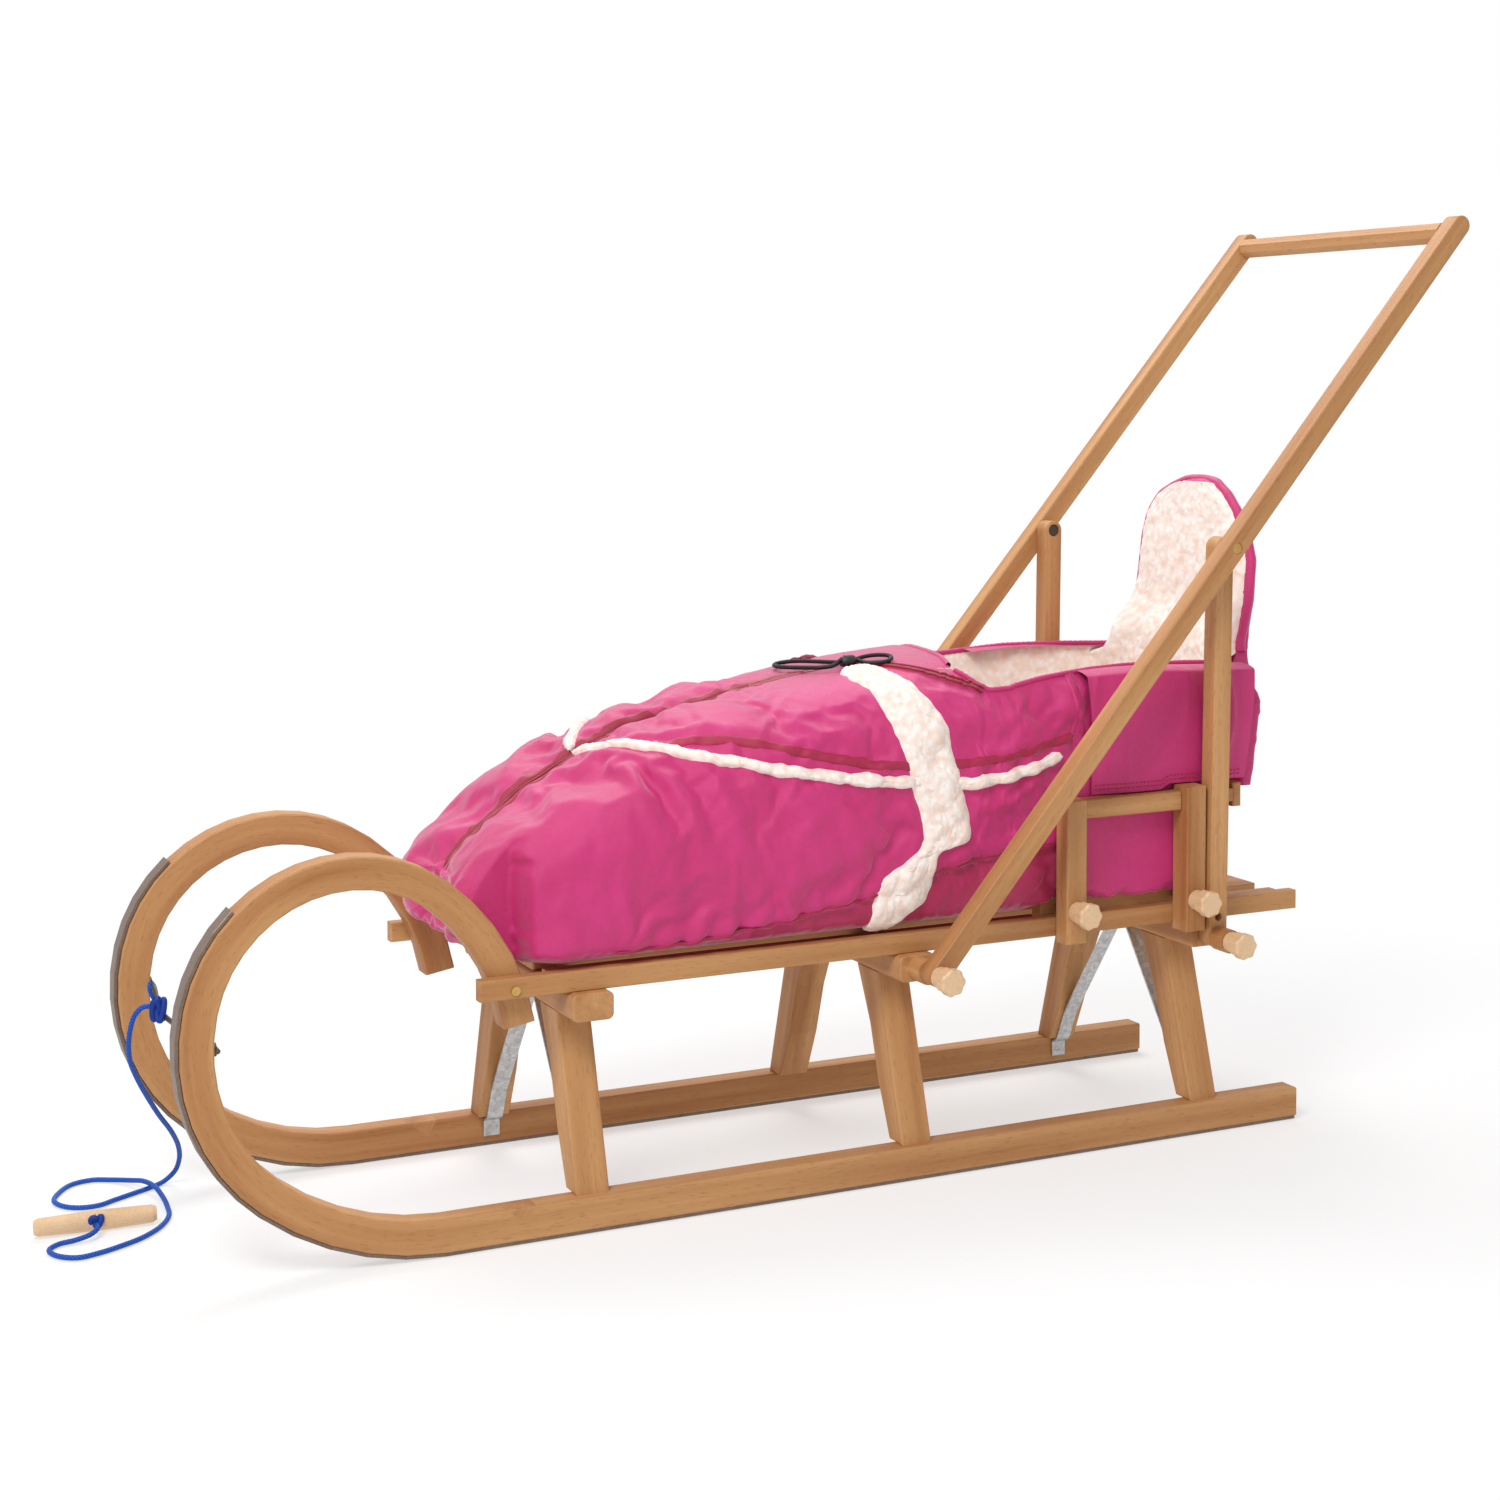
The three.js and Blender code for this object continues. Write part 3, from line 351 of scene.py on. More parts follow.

# %% [markdown]
# ## The finish of a braided cord
# Braided polypropylene is bright with a waxy gloss. The colour carries painted shade in the
# grooves between strands and a painted highlight where a strand crosses on top. The pattern
# follows the tube's own length and turn, which its UV map holds in metres and in turns.

# %% Cord finish
def cord_finish(name, deep, bright, gloss, pitch):
    finish = Finish(name)
    turn, run, _ = finish.parts(finish.node("ShaderNodeTexCoord", out="UV"))
    one = (run * (2 * math.pi / pitch) + turn * (4 * math.pi)).sine().size()
    other = (run * (2 * math.pi / pitch) - turn * (4 * math.pi)).sine().size()
    strand = one * other
    fibre = finish.noise(finish.joined(turn * 6, run * 2600, 0), 5, 2)
    height = strand + fibre * 0.25
    # painted shade in the grooves between strands, painted highlight where a strand crosses on top
    colour = finish.mix((strand * 0.9 + fibre * 0.3 - 0.1).clamped(), deep, bright)
    normal = finish.bump(height, 0.6, 0.0004)
    rough = 0.62 - strand * 0.15
    return finish.shaded(
        Base_Color=colour, Roughness=rough, Normal=normal, Specular_IOR_Level=gloss
    )


blue_cord = cord_finish("blue_braid", written(0, 44, 136), written(0, 102, 210), 0.4, 0.0068)
black_cord = cord_finish("black_braid", written(8, 6, 8), written(42, 34, 40), 0.35, 0.0054)
print("cord finishes ready")

# %% [markdown]
# ## The pull cord
# The photograph shows this cord from end to end. It leaves a knot on the steel bow, hangs down in
# front of the far horn, and lies on the floor in two loose loops before it enters the toggle's
# hole. Where it crosses itself it climbs over in a low hump. Its length is the length of that
# route.

# %% Pull cord from the bow to the toggle
pull_route = places(
    [
        (0, -184.1, 228), (-0.5, -192, 228), (-2, -199, 222), (-4, -203, 211), (-10, -204.5, 193),
        (-22, -201, 172), (-38, -192, 151), (-58, -178.5, 126), (-84, -161, 97),
        (-110, -143.5, 71), (-135, -131, 47), (-152, -126.5, 28), (-162, -129, 13),
        (-163, -139, 4.2), (-153, -155, 2.6), (-141, -176, 2.6), (-130, -196, 2.6),
        (-120, -214, 2.6), (-121, -232, 2.6), (-132, -246, 2.6), (-152, -252, 2.6),
        (-176, -243, 2.6), (-197, -226, 2.6), (-202, -205, 2.6), (-194, -187, 2.6),
        (-177, -172, 5), (-158, -162, 8.4), (-138, -155, 8), (-115, -152, 4.4), (-88, -153, 2.6),
        (-58, -158, 2.6), (-31, -172, 2.6), (-8, -194, 2.6), (6, -217, 2.6), (16, -239, 2.6),
        (20, -260, 2.6), (8, -276, 2.6), (-12, -281, 2.6), (-24, -270, 2.8), (-26, -254, 3.6),
        (-27, -240, 6.4), (-32, -232.5, 9), (-39, -230.7, 10), (-46, -230.2, 10),
    ]
)
PULL_RADIUS = 0.0026
pull_path, pull_length = smooth_route(pull_route, 0.0008)
pull_cord = braided_tube("pull_cord_braid", pull_path, pull_length, PULL_RADIUS, blue_cord)
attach(pull_cord, FRAME_BODY)
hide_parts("pull_cord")
print("the pull cord is", round(pull_length * 1000), "mm long")

# %% [markdown]
# The knot on the bow is a simple overhand knot pulled tight. It is tied here as a trefoil curve,
# the way the cord really runs, with a short free tail that points away. Inside the toggle the cord
# ends in a second knot, which shows as a blue button in the hole.

# %% Knots and the toggle's hole
def trefoil(centre, sizes, turns=120):
    out = []
    for i in range(turns + 1):
        t = 2 * math.pi * i / turns
        x = math.sin(t) + 2 * math.sin(2 * t)
        y = math.cos(t) - 2 * math.cos(2 * t)
        z = -math.sin(3 * t)
        out.append(centre + Vector((x * sizes[0] / 3, y * sizes[1] / 3, z * sizes[2])))
    return out


KNOT_SIDES = 12


def knot_piece(name, centre, sizes, radius, finish):
    path = trefoil(centre, sizes)
    unmapped = [(0, 0)] * (len(path) * KNOT_SIDES)
    return plain_tube(name, path, lambda run, angle: radius, KNOT_SIDES, finish, unmapped)


BOW_KNOT, TOGGLE_KNOT = at(0, -177.5, 224), at(-47.5, -229.8, 12)
TAIL = [(0, -180, 233), (2, -184, 238), (4, -187, 246), (3, -186, 252)]
bow_knot = knot_piece("bow_knot", BOW_KNOT, (0.0062, 0.0062, 0.0095), 0.0031, blue_cord)
tail_path, tail_length = smooth_route(places(TAIL), 0.0006)
bow_tail = braided_tube("bow_knot_tail", tail_path, tail_length, 0.0022, blue_cord)
toggle_knot = knot_piece("toggle_knot", TOGGLE_KNOT, (0.0058, 0.0058, 0.004), 0.0030, blue_cord)
for piece in (bow_knot, bow_tail, toggle_knot):
    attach(piece, FRAME_BODY)
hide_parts("cord_knot")
print("knots tied")

# %% [markdown]
# ## The studio
# The sled stands on a pale floor that shades off into a white surround. Two large soft lights hang
# above it, one in front and one behind, and the surround fills the shadows. Together they light a
# surface that faces them with a strength of about one, so a colour renders as it is written. The
# camera and every reflection see the surround as plain white, while it lights the sled only half
# as strongly. The floor keeps the sled's shadow near it and turns into plain white further out.

# %% Light and floor
WHITE = (1, 1, 1, 1)
FILL_STRENGTH, WHITE_STRENGTH = 0.50, 1.0
world = bpy.data.worlds.new("studio")
bpy.context.scene.world = world
world.use_nodes = True
sky = world.node_tree
sky.nodes.clear()
rays = sky.nodes.new("ShaderNodeLightPath")
shown = rays.outputs["Is Camera Ray"]
for kind in ("Is Glossy Ray", "Is Transmission Ray"):
    either = sky.nodes.new("ShaderNodeMath")
    either.operation = "MAXIMUM"
    sky.links.new(shown, either.inputs[0])
    sky.links.new(rays.outputs[kind], either.inputs[1])
    shown = either.outputs[0]
chosen = sky.nodes.new("ShaderNodeMixShader")
sky.links.new(shown, chosen.inputs[0])
for socket, strength in ((1, FILL_STRENGTH), (2, WHITE_STRENGTH)):
    surround = sky.nodes.new("ShaderNodeBackground")
    surround.inputs["Color"].default_value = WHITE
    surround.inputs["Strength"].default_value = strength
    sky.links.new(surround.outputs[0], chosen.inputs[socket])
sky_output = sky.nodes.new("ShaderNodeOutputWorld")
sky.links.new(chosen.outputs[0], sky_output.inputs["Surface"])


def soft_light(name, place, target, size, power):
    data = bpy.data.lights.new(name, "AREA")
    data.shape = "DISK"
    data.size = size
    data.energy = power
    lamp = bpy.data.objects.new(name, data)
    lamp.location = place
    lamp.rotation_mode = "QUATERNION"
    lamp.rotation_quaternion = (target - place).to_track_quat("-Z", "Y")
    bpy.context.scene.collection.objects.link(lamp)


soft_light("key", Vector((1.5, -1.7, 2.6)), Vector((0, -0.1, 0.3)), 1.2, 56)
soft_light("back", Vector((-1.5, 0.3, 2.9)), Vector((0, 0, 0.35)), 1.8, 50)

FLOOR_SIZE, FLOOR_DROP = 14, 0.0006
WHITE_FROM, WHITE_WIDTH = 0.62, 0.5
floor_finish = Finish("pale_floor")
x, y, _ = floor_finish.parts(floor_finish.place())
reach = (x * x + y * y * 0.55).root()
fade = ((reach - WHITE_FROM) / WHITE_WIDTH).clamped() * 0.45 + 0.55
grit = floor_finish.noise(floor_finish.place(), 240, 2)
shade = floor_finish.mix(grit, (0.93, 0.93, 0.93), (0.97, 0.97, 0.97))
matt = floor_finish.node("ShaderNodeBsdfDiffuse", None, {"Color": shade})
glow = floor_finish.node("ShaderNodeEmission", None, {"Color": WHITE, "Strength": 1.0})
blend = floor_finish.node("ShaderNodeMixShader", None, {0: fade, 1: matt, 2: glow})
floor_finish.tree.links.new(blend.socket, floor_finish.output.inputs["Surface"])
bpy.ops.mesh.primitive_plane_add(size=FLOOR_SIZE, location=(0, 0, -FLOOR_DROP))
floor = bpy.context.object
floor.name = "floor"
floor.data.materials.append(floor_finish.material)
print("studio ready")

# %% [markdown]
# ## Beech
# The whole frame is clear-varnished beech, a pale wood that turns honey-coloured. Its grain runs
# along each board. It shows in long soft stripes and in the short brown flecks that beech is known
# for. Each finish therefore needs the direction of its board, and works in distances along and
# across it.

# %% Beech for straight boards
def beech_shade(finish, along, across, depth, tone=0.0):
    """Colour, roughness and normal of varnished beech, from distances in metres."""
    stretched = finish.joined(along * 0.05, across, depth)
    broad = finish.noise(stretched, 34, 3, 0.55)
    waver = finish.noise(stretched, 60, 2, 0.5)
    stripe = ((across + depth * 0.4 + waver * 0.012) * 820).sine() * 0.5 + 0.5
    pores = finish.noise(finish.joined(along * 0.10, across, depth), 900, 2, 0.6)
    fleck_field = finish.noise(finish.joined(along * 0.16, across, depth), 560, 1, 0.4)
    black, white = (0, 0, 0), (1, 1, 1)
    fleck = finish.ramp(fleck_field, (0.0, black), (0.60, black), (0.70, white), (1.0, white))
    fleck_amount, _, _ = finish.parts(fleck)
    light, middle, dark = written(214, 166, 112), written(182, 128, 78), written(152, 94, 48)
    base = finish.mix((broad * 2.2 - 0.60 + tone).clamped(), dark, light)
    base = finish.mix((stripe * 0.22 + pores * 0.35).clamped(), base, middle)
    base = finish.mix(fleck_amount * 0.24, base, written(128, 76, 38))
    height = pores * 0.5 + fleck_amount * 0.3
    normal = finish.bump(height, 0.03, 0.0002)
    return base, 0.52 + pores * 0.12, normal


def along_axis(finish, direction):
    """Distances along a direction and across it, for a board in its place on the sled."""
    direction = Vector(direction).normalized()
    across = direction.orthogonal().normalized()
    depth = direction.cross(across)
    place = finish.place()
    settings = {"operation": "DOT_PRODUCT"}
    return [
        finish.node("ShaderNodeVectorMath", settings, {0: place, 1: tuple(axis)}, "Value")
        for axis in (direction, across, depth)
    ]


VARNISH = {"Specular_IOR_Level": 0.32, "Coat_Weight": 0.06, "Coat_Roughness": 0.4}
PUSH_BAR_RISE = 0.8585


def straight_beech(name, direction, tone=0.0):
    finish = Finish(name)
    colour, rough, normal = beech_shade(finish, *along_axis(finish, direction), tone)
    return finish.shaded(Base_Color=colour, Roughness=rough, Normal=normal, **VARNISH)


push_direction = (0, math.cos(PUSH_BAR_RISE), math.sin(PUSH_BAR_RISE))
beech_x = straight_beech("beech_across", (1, 0, 0), 0.05)
beech_y = straight_beech("beech_lengthwise", (0, 1, 0), 0.05)
beech_z = straight_beech("beech_upright", (0, 0, 1))
beech_push = straight_beech("beech_push_bars", push_direction, -0.05)
beech_leg_left = straight_beech("beech_legs_left", (0.28, 0, -0.96), 0.08)
beech_leg_right = straight_beech("beech_legs_right", (-0.28, 0, -0.96), 0.08)
print("six beech finishes for straight boards")

# %% [markdown]
# ## Bent runners
# A horn is a straight board that was steamed and bent, so its grain follows the bend. The loop is
# four arcs, each turning round its own centre. For every point the finish works out which arc it
# is on, how far along the board it is, and how far from the board's middle line.

# %% Beech for the bent runners
RUNNER_MIDDLE = 20.0
RISE_STATION = 53.5
ARC_RADII = (261.5, 176.0, 145.5, 210.6)
ARC_TURNS = (38.5, 64.2, 113.4, 44.3)
LAST_ARC = len(ARC_RADII) - 1
PAST_THE_TIP, BESIDE_THE_BOARD = 0.8, 0.04


def along_runner(finish):
    x, y, z = finish.parts(finish.place())
    rise = (RISE_STATION - ORIGIN_STATION) / 1000
    middle = RUNNER_MIDDLE / 1000
    centre = Vector((rise, middle + ARC_RADII[0] / 1000))
    turned, run = 0.0, 0.0
    along, offset, claimed = None, None, None
    for index, (radius, turn) in enumerate(zip(ARC_RADII, ARC_TURNS)):
        radius /= 1000
        low, high = math.radians(turned), math.radians(turned + turn)
        back, up = centre.x - y, centre.y - z
        angle = back.angle_from(up)
        angle = angle + (angle < 0.0) * (2 * math.pi)
        inside = (angle > low) * (angle < high + (PAST_THE_TIP if index == LAST_ARC else 0.0))
        distance = (back * back + up * up).root()
        inside = inside * (distance < radius + BESIDE_THE_BOARD)
        arc_along = (angle - low) * radius + run
        arc_offset = distance - radius
        along = arc_along * inside if along is None else along + arc_along * inside
        offset = arc_offset * inside if offset is None else offset + arc_offset * inside
        claimed = inside if claimed is None else claimed + inside
        turned += turn
        run += math.radians(turn) * radius
        if index < LAST_ARC:
            end = centre - Vector((math.sin(high), math.cos(high))) * radius
            centre = end + (centre - end) * (ARC_RADII[index + 1] / 1000 / radius)
    straight = 1.0 - claimed
    return along + (rise - y) * straight, offset + (middle - z) * straight, x


runner_finish = Finish("beech_bent")
colour, rough, normal = beech_shade(runner_finish, *along_runner(runner_finish), 0.0)
beech_runner = runner_finish.shaded(Base_Color=colour, Roughness=rough, Normal=normal, **VARNISH)
print("the runner's four arcs turn", round(sum(ARC_TURNS), 1), "degrees")

# %% [markdown]
# ## Giving the finishes to the CAD pieces
# The CAD pieces stay where they are, and only their material slots change. Each family of pieces
# gets the finish whose grain runs along its boards.

# %% Dress the wooden pieces
def dress(finish, *starts):
    for name, node in nodes.items():
        if name.startswith(starts):
            node.data.materials.clear()
            node.data.materials.append(finish)


dress(beech_runner, "runner_left", "runner_right")
dress(beech_x, "crossbar_", "back_slat", "cross_handle", "spacer_")
dress(beech_y, "side_rail_", "seat_slat_", "arm_bar_", "clamp_board_")
dress(beech_z, "arm_post_", "strut_")
dress(beech_push, "push_bar_")
for side, finish in (("left", beech_leg_left), ("right", beech_leg_right)):
    dress(finish, *[f"leg_{row}_{side}" for row in ("front", "middle", "rear")])
print("wood dressed")

# %% [markdown]
# ## The foot muff
# The muff is a padded bag: a smooth outer cloth, padding, and a fleece lining. It lies on the
# seat like a boat. Its cross-section is a rounded box that is wide and low at the feet and tall at
# the lap. The cloth is one sheet that is closed along the top by the zip. Behind the zip's end it
# parts into two rims. So each cross-section starts at the near edge, runs down and under, and ends
# at the far one.

# %% Cross-sections of the muff
SEAT = 254.8
MUFF_TALL = 285.0
MUFF_HALF = 147.0
SAGGED_HALF = 151
SQUARENESS = 0.606
NOSE, REAR = 104.0, 1000.0
SHARES = [0, 0.023, 0.051, 0.096, 0.152, 0.219, 0.319, 0.42, 0.554, 0.665, 0.833, 1]
TOP_SHARES = [0.297, 0.378, 0.444, 0.556, 0.655, 0.746, 0.823, 0.89, 0.95, 0.978, 0.967, 0.939]
BASE_SHARES = [0.07, 0.02, 0, 0, 0, 0, 0, 0, 0, 0, 0, 0]
WIDE_SHARES = [0.7, 0.82, 0.88, 0.93, 0.96, 0.98, 1, 1.02, 1.03, 1.02, 0.98, 0.97]
STATIONS = [NOSE + (REAR - NOSE) * share for share in SHARES]
KNOT_STATION = 562.0
# The near and far rims of the mouth: station, sideways place, lift above the section
NEAR_RIM = np.array([
    (562, 0, 0), (572, 6, 0), (583, 43.5, 0), (609, 84, 0), (640, 95, 0), (646, 105, 0),
    (655, 120, 0), (668, 128, 0), (693, 128.5, 0), (736, 122, 2), (801, 115, 4), (846, 112, 5),
    (929, 109, 6), (1000, 108, 6),
])
FAR_RIM = np.array([
    (562, 0, 0), (572, 6, 0), (583, 43.5, 0), (609, 84, 0), (640, 95, 0), (645, 78, 0),
    (656, 18, -1), (665, -30, -2), (674, -70, -4), (683, -103, -4), (700, -120, 0),
    (750, -126, 8), (835, -120, 12), (915, -114, 10), (1000, -110, 8),
])
RIM_INSET, RIM_FADE = 12, 45
# One turn round a section in steps, and how far past its top the rims may lie
TURN_STEPS, OVERLAP, TOP_STEPS = 2400, 600, 500


def soft_step(value, low, high):
    t = min(1.0, max(0.0, (value - low) / (high - low)))
    return t * t * (3 - 2 * t)


def muff_size(station, inward=0.0):
    top = SEAT + MUFF_TALL * np.interp(station, STATIONS, TOP_SHARES) - inward
    low = SEAT + MUFF_TALL * np.interp(station, STATIONS, BASE_SHARES) + inward
    return top, low, MUFF_HALF * np.interp(station, STATIONS, WIDE_SHARES) - inward


def muff_section(station, count, inward=0.0, rims=True):
    """Points of one cross-section from the near edge over the bottom to the far edge."""
    top, low, half = muff_size(station, inward)
    turn = np.linspace(0, 2 * np.pi, TURN_STEPS + 1)
    side, rise = np.sin(turn), np.cos(turn)
    boxy = soft_step(station, 125, 190)
    side_power = np.where(rise > 0, SQUARENESS, SQUARENESS - 0.3 * boxy)
    x = np.sign(side) * np.abs(side) ** side_power * half
    middle, tall = (top + low) / 2, (top - low) / 2
    power = np.where(rise > 0, SQUARENESS, SQUARENESS / 2 - 0.1 * boxy)
    z = middle + np.sign(rise) * np.abs(rise) ** power * tall
    sag = np.clip((middle - z) / tall, 0, 1) ** 1.5 * boxy * (inward == 0)
    x = x * (1 + (SAGGED_HALF / half - 1) * sag)
    near = np.interp(station, NEAR_RIM[:, 0], NEAR_RIM[:, 1]) if rims else 0.0
    far = np.interp(station, FAR_RIM[:, 0], FAR_RIM[:, 1]) if rims else 0.0
    near, far = min(near, half - RIM_INSET), max(far, RIM_INSET - half)
    first = np.searchsorted(x[:TOP_STEPS], near)
    before_top = TURN_STEPS - TOP_STEPS
    last = before_top + np.searchsorted(x[before_top:], far) if far < 0 else TURN_STEPS + first
    x, z = np.concatenate([x, x[1:OVERLAP]]), np.concatenate([z, z[1:OVERLAP]])
    if 0 <= far < near:
        last = TURN_STEPS + np.searchsorted(x[TURN_STEPS:TURN_STEPS + TOP_STEPS], far)
    x, z = x[first:last + 1], z[first:last + 1]
    run = np.concatenate([[0], np.cumsum(np.hypot(np.diff(x), np.diff(z)))])
    even = np.linspace(0, run[-1], count)
    x, z = np.interp(even, run, x), np.interp(even, run, z)
    if rims:
        lift_near = np.interp(station, NEAR_RIM[:, 0], NEAR_RIM[:, 2])
        lift_far = np.interp(station, FAR_RIM[:, 0], FAR_RIM[:, 2])
        z = z + lift_near * np.exp(-even / RIM_FADE)
        z = z + lift_far * np.exp(-(run[-1] - even) / RIM_FADE)
    return np.stack([x, np.full(count, station), z], 1)


print("the muff is", round(muff_size(600)[2] * 2), "mm wide at the lap")

# %% [markdown]
# ## Folds in the cloth
# Cloth over soft padding never lies flat. Broad swells come from the padding, and sharp creases
# come from the cloth being pulled towards seams and the belt. The seam at the zip is drawn in like
# a valley. These heights are added along the surface normals of the plain form.

# %% Heights of folds
def ridge(point, scale, stretch, seed, warp=0.5):
    """A crease field: 1 on thin ridges and falling to 0 between them."""
    p = Vector((point[0] / stretch[0], point[1] / stretch[1], point[2] / stretch[2])) * scale
    p += Vector((seed, seed * 0.7, -seed))
    bend = noise.noise_vector(p * 0.6) * warp
    return 1.0 - min(1.0, abs(noise.noise(p + bend)) * 3.2)


def swell(point, scale, seed):
    return noise.noise(Vector(point) * scale + Vector((seed, -seed, seed * 0.5)))


LOWER_SEAM = (
    [210, 323, 390, 457, 515, 573, 621, 700],
    [259, 263, 272, 284, 293, 308, 317, 330],
)
BELOW_TRIM = ([246, 326, 414, 502, 740], [446, 450, 432, 417, 424])
GATHER_STATION, GATHER_HEIGHT = 238, 262


def lower_seam(station):
    """Height of the seam on the muff's side where its base is sewn on."""
    return np.interp(station, *LOWER_SEAM)


def fold_height(x, y, z):
    """How far the outer cloth stands off its plain form at a place, in millimetres."""
    height = 2.5 * swell((x, y, z), 0.012, 3.0) + 1.6 * swell((x, y, z), 0.028, 9.0)
    near_front = soft_step(520 - y, 0, 120)
    low = soft_step(430 - z, 0, 120)
    upright = ridge((x, y, z), 0.020, (1.0, 0.75, 2.6), 5.0)
    height += 3.4 * (upright ** 2) * low * near_front
    diagonal = ridge((x, y + 0.8 * z, z - 0.8 * y), 0.013, (1.0, 2.4, 0.9), 11.0)
    height += 3.0 * (diagonal ** 2) * (1 - 0.6 * low)
    fine = ridge((x, y - 0.6 * z, z), 0.034, (1.0, 1.2, 1.5), 17.0)
    height += 1.3 * (fine ** 2)
    under = lower_seam(y) - z
    if abs(x) > 100 and 150 < y < 790:
        height -= 5.0 * soft_step(under, -3, 3) * soft_step(y, 200, 330)
        height -= 4.0 * math.exp(-((under / 5) ** 2)) * soft_step(y, 200, 300)
    wander = 9 * noise.noise(Vector((x, y, z)) * 0.02)
    if abs(x) > 70 and 250 < y < 760:
        below = np.interp(y, *BELOW_TRIM) - z
        if below > 0:
            wave = math.cos(2 * math.pi * (y + 0.35 * z + wander) / 41)
            height += 3.4 * wave * math.exp(-below / 60)
        if 0 > under > -110:
            wave = math.cos(2 * math.pi * (y - 0.2 * z + wander) / 33)
            height += 3.2 * wave * math.exp(under / 42)
    gather_y, gather_z = y - GATHER_STATION, z - GATHER_HEIGHT
    spread = math.hypot(gather_y, gather_z)
    pleats = math.cos(9 * math.atan2(gather_z, gather_y) + wander * 0.1)
    height += 3.6 * pleats * math.exp(-spread / 46) * (abs(x) > 90)
    if y < KNOT_STATION + 5 and z > 300:
        height -= 7.0 * math.exp(-((x / 11) ** 2)) * soft_step(z, 300, 340)
        beside_zip = math.exp(-(((abs(x) - 30) / 16) ** 2))
        height += 2.6 * beside_zip * ridge((x, y, z), 0.03, (2.0, 1.0, 1.0), 23.0)
    return height


def displaced(points, rows, columns, heights):
    grid = points.reshape(rows, columns, 3)
    along = np.gradient(grid, axis=0)
    round_ = np.gradient(grid, axis=1)
    normals = np.cross(round_, along)
    lengths = np.linalg.norm(normals, axis=2, keepdims=True)
    normals = normals / np.maximum(lengths, 1e-9)
    return (grid + normals * heights.reshape(rows, columns, 1)).reshape(-1, 3)


print("fold heights ready")

# %% [markdown]
# ## Where the muff is sewn
# Seams decide how a bag hangs. These are the lines of the fleece edging, of the side zip above it
# and of the belt's two edges, read from the photograph on the muff's near side. The cloth will be
# held along them, so that its folds start there.

# %% Seam lines
TRIM = [
    (5, 246, 444), (36, 263.5, 451), (82, 288, 457), (119.5, 326, 451), (135, 368.5, 443.5),
    (143, 414.5, 433), (148, 468.6, 424), (149.5, 502, 418), (150.5, 560, 412), (151, 625, 406),
    (150.3, 668, 408), (149.8, 693, 412), (149, 718, 418), (147.8, 742, 428),
]
SIDE_ZIP = [
    (86.5, 291.5, 461), (110.5, 341, 465), (132, 398, 458), (144, 459, 445), (150, 549, 429),
    (150, 668, 429), (147.5, 731.5, 440), (145, 768, 446.5),
]
BELT_FRONT = [
    (52, 530, 515), (78, 530, 512), (104, 536, 503), (124.5, 539, 489.5), (143, 546, 460),
    (149, 555, 433), (151, 562, 403), (151, 572, 372), (151, 576, 348), (150.5, 554, 329),
    (149.5, 526, 313), (145, 519, 292), (124, 515, 268),
]
BELT_REAR = [
    (50, 566, 519), (79, 576, 517), (98, 583, 512), (124.5, 592, 497), (142, 606, 472),
    (150, 614, 436), (151, 625, 399), (151, 632, 372), (151, 632, 346), (151, 597, 336),
    (150.5, 590, 318), (142.5, 583, 286), (128, 548, 264),
]


def both_sides(points):
    return points, [(-x, y, z) for x, y, z in points]


print("seam lines:", len(TRIM), "points on the edging and", len(BELT_FRONT), "on each belt edge")

# %% [markdown]
# The front of the muff is a blunt wall about as wide as two feet. The zip starts in its middle and
# pulls it in, so the wall is hollow along its centre line. It is made by shrinking the first
# cross-section towards its middle and setting each smaller ring a little further back.

# %% The outer cloth
NOSE_RINGS = (0.02, 0.15, 0.3, 0.45, 0.6, 0.72, 0.82, 0.9, 0.96)
NOSE_DEPTH, NOSE_HOLLOW = 7, 13.0


def muff_rows(stations, count, inward=0.0, rims=True, nose=True):
    rows = []
    if nose:
        first = muff_section(stations[0], count, inward, rims)
        middle = np.array([0, 0, first[:, 2].mean()])
        for share in NOSE_RINGS:
            ring = first * [share, 1, share] + middle * [0, 0, 1 - share]
            hollow = NOSE_HOLLOW * (1 - share) * np.exp(-((ring[:, 0] / 45) ** 2))
            rounding = 7.0 * max(0.0, share - 0.75) / 0.25
            ring[:, 1] = stations[0] - NOSE_DEPTH + rounding ** 2 / 7 + hollow
            rows.append(ring)
    rows += [muff_section(station, count, inward, rims) for station in stations]
    return np.concatenate(rows), len(rows)


def near_drawcord(points):
    """1 on the top of the lap, where the drawcord lies, and fading out around it."""
    spread = (points[:, 0] / 112) ** 6 + ((points[:, 1] - 572) / 130) ** 6
    return np.exp(-spread) * (points[:, 2] > 470)


outer_stations = np.concatenate([
    np.arange(NOSE, KNOT_STATION, 5.5), np.arange(KNOT_STATION, 640, 4.0),
    np.arange(640, 706, 2.5), np.arange(706, 996.1, 6.0),
])
COLUMNS = 126
CORD_CALM = 0.8
outer, outer_rows = muff_rows(outer_stations, COLUMNS)
heights = np.array([fold_height(*point) for point in outer])
edge_fade = np.minimum(1, np.minimum(np.arange(COLUMNS), np.arange(COLUMNS)[::-1]) / 6)
is_mouth = np.repeat(outer[::COLUMNS, 1] > KNOT_STATION, COLUMNS)
heights *= np.where(is_mouth, np.tile(edge_fade, outer_rows), 1)
heights *= np.clip((outer[:, 2] - SEAT - 3) / 16, 0, 1)
heights *= 1 - CORD_CALM * near_drawcord(outer)
outer = displaced(outer, outer_rows, COLUMNS, heights)
outer[:, 2] = np.maximum(outer[:, 2], SEAT + 0.3)


def to_frame(points):
    return (np.asarray(points) - [0, ORIGIN_STATION, 0]) / 1000


print("outer cloth has", len(outer), "points")

# %% [markdown]
# ## Letting the cloth settle
# A cloth simulation makes the folds look real. The cloth is made a few percent larger than the
# form it covers and the padding presses it outwards, while the seams, the rims and the base hold
# it. The spare cloth has to buckle somewhere, and it does so in folds that start at the seams.
# Gravity is left out, because a stuffed bag is carried by its padding. No point may move further
# than a fixed distance.

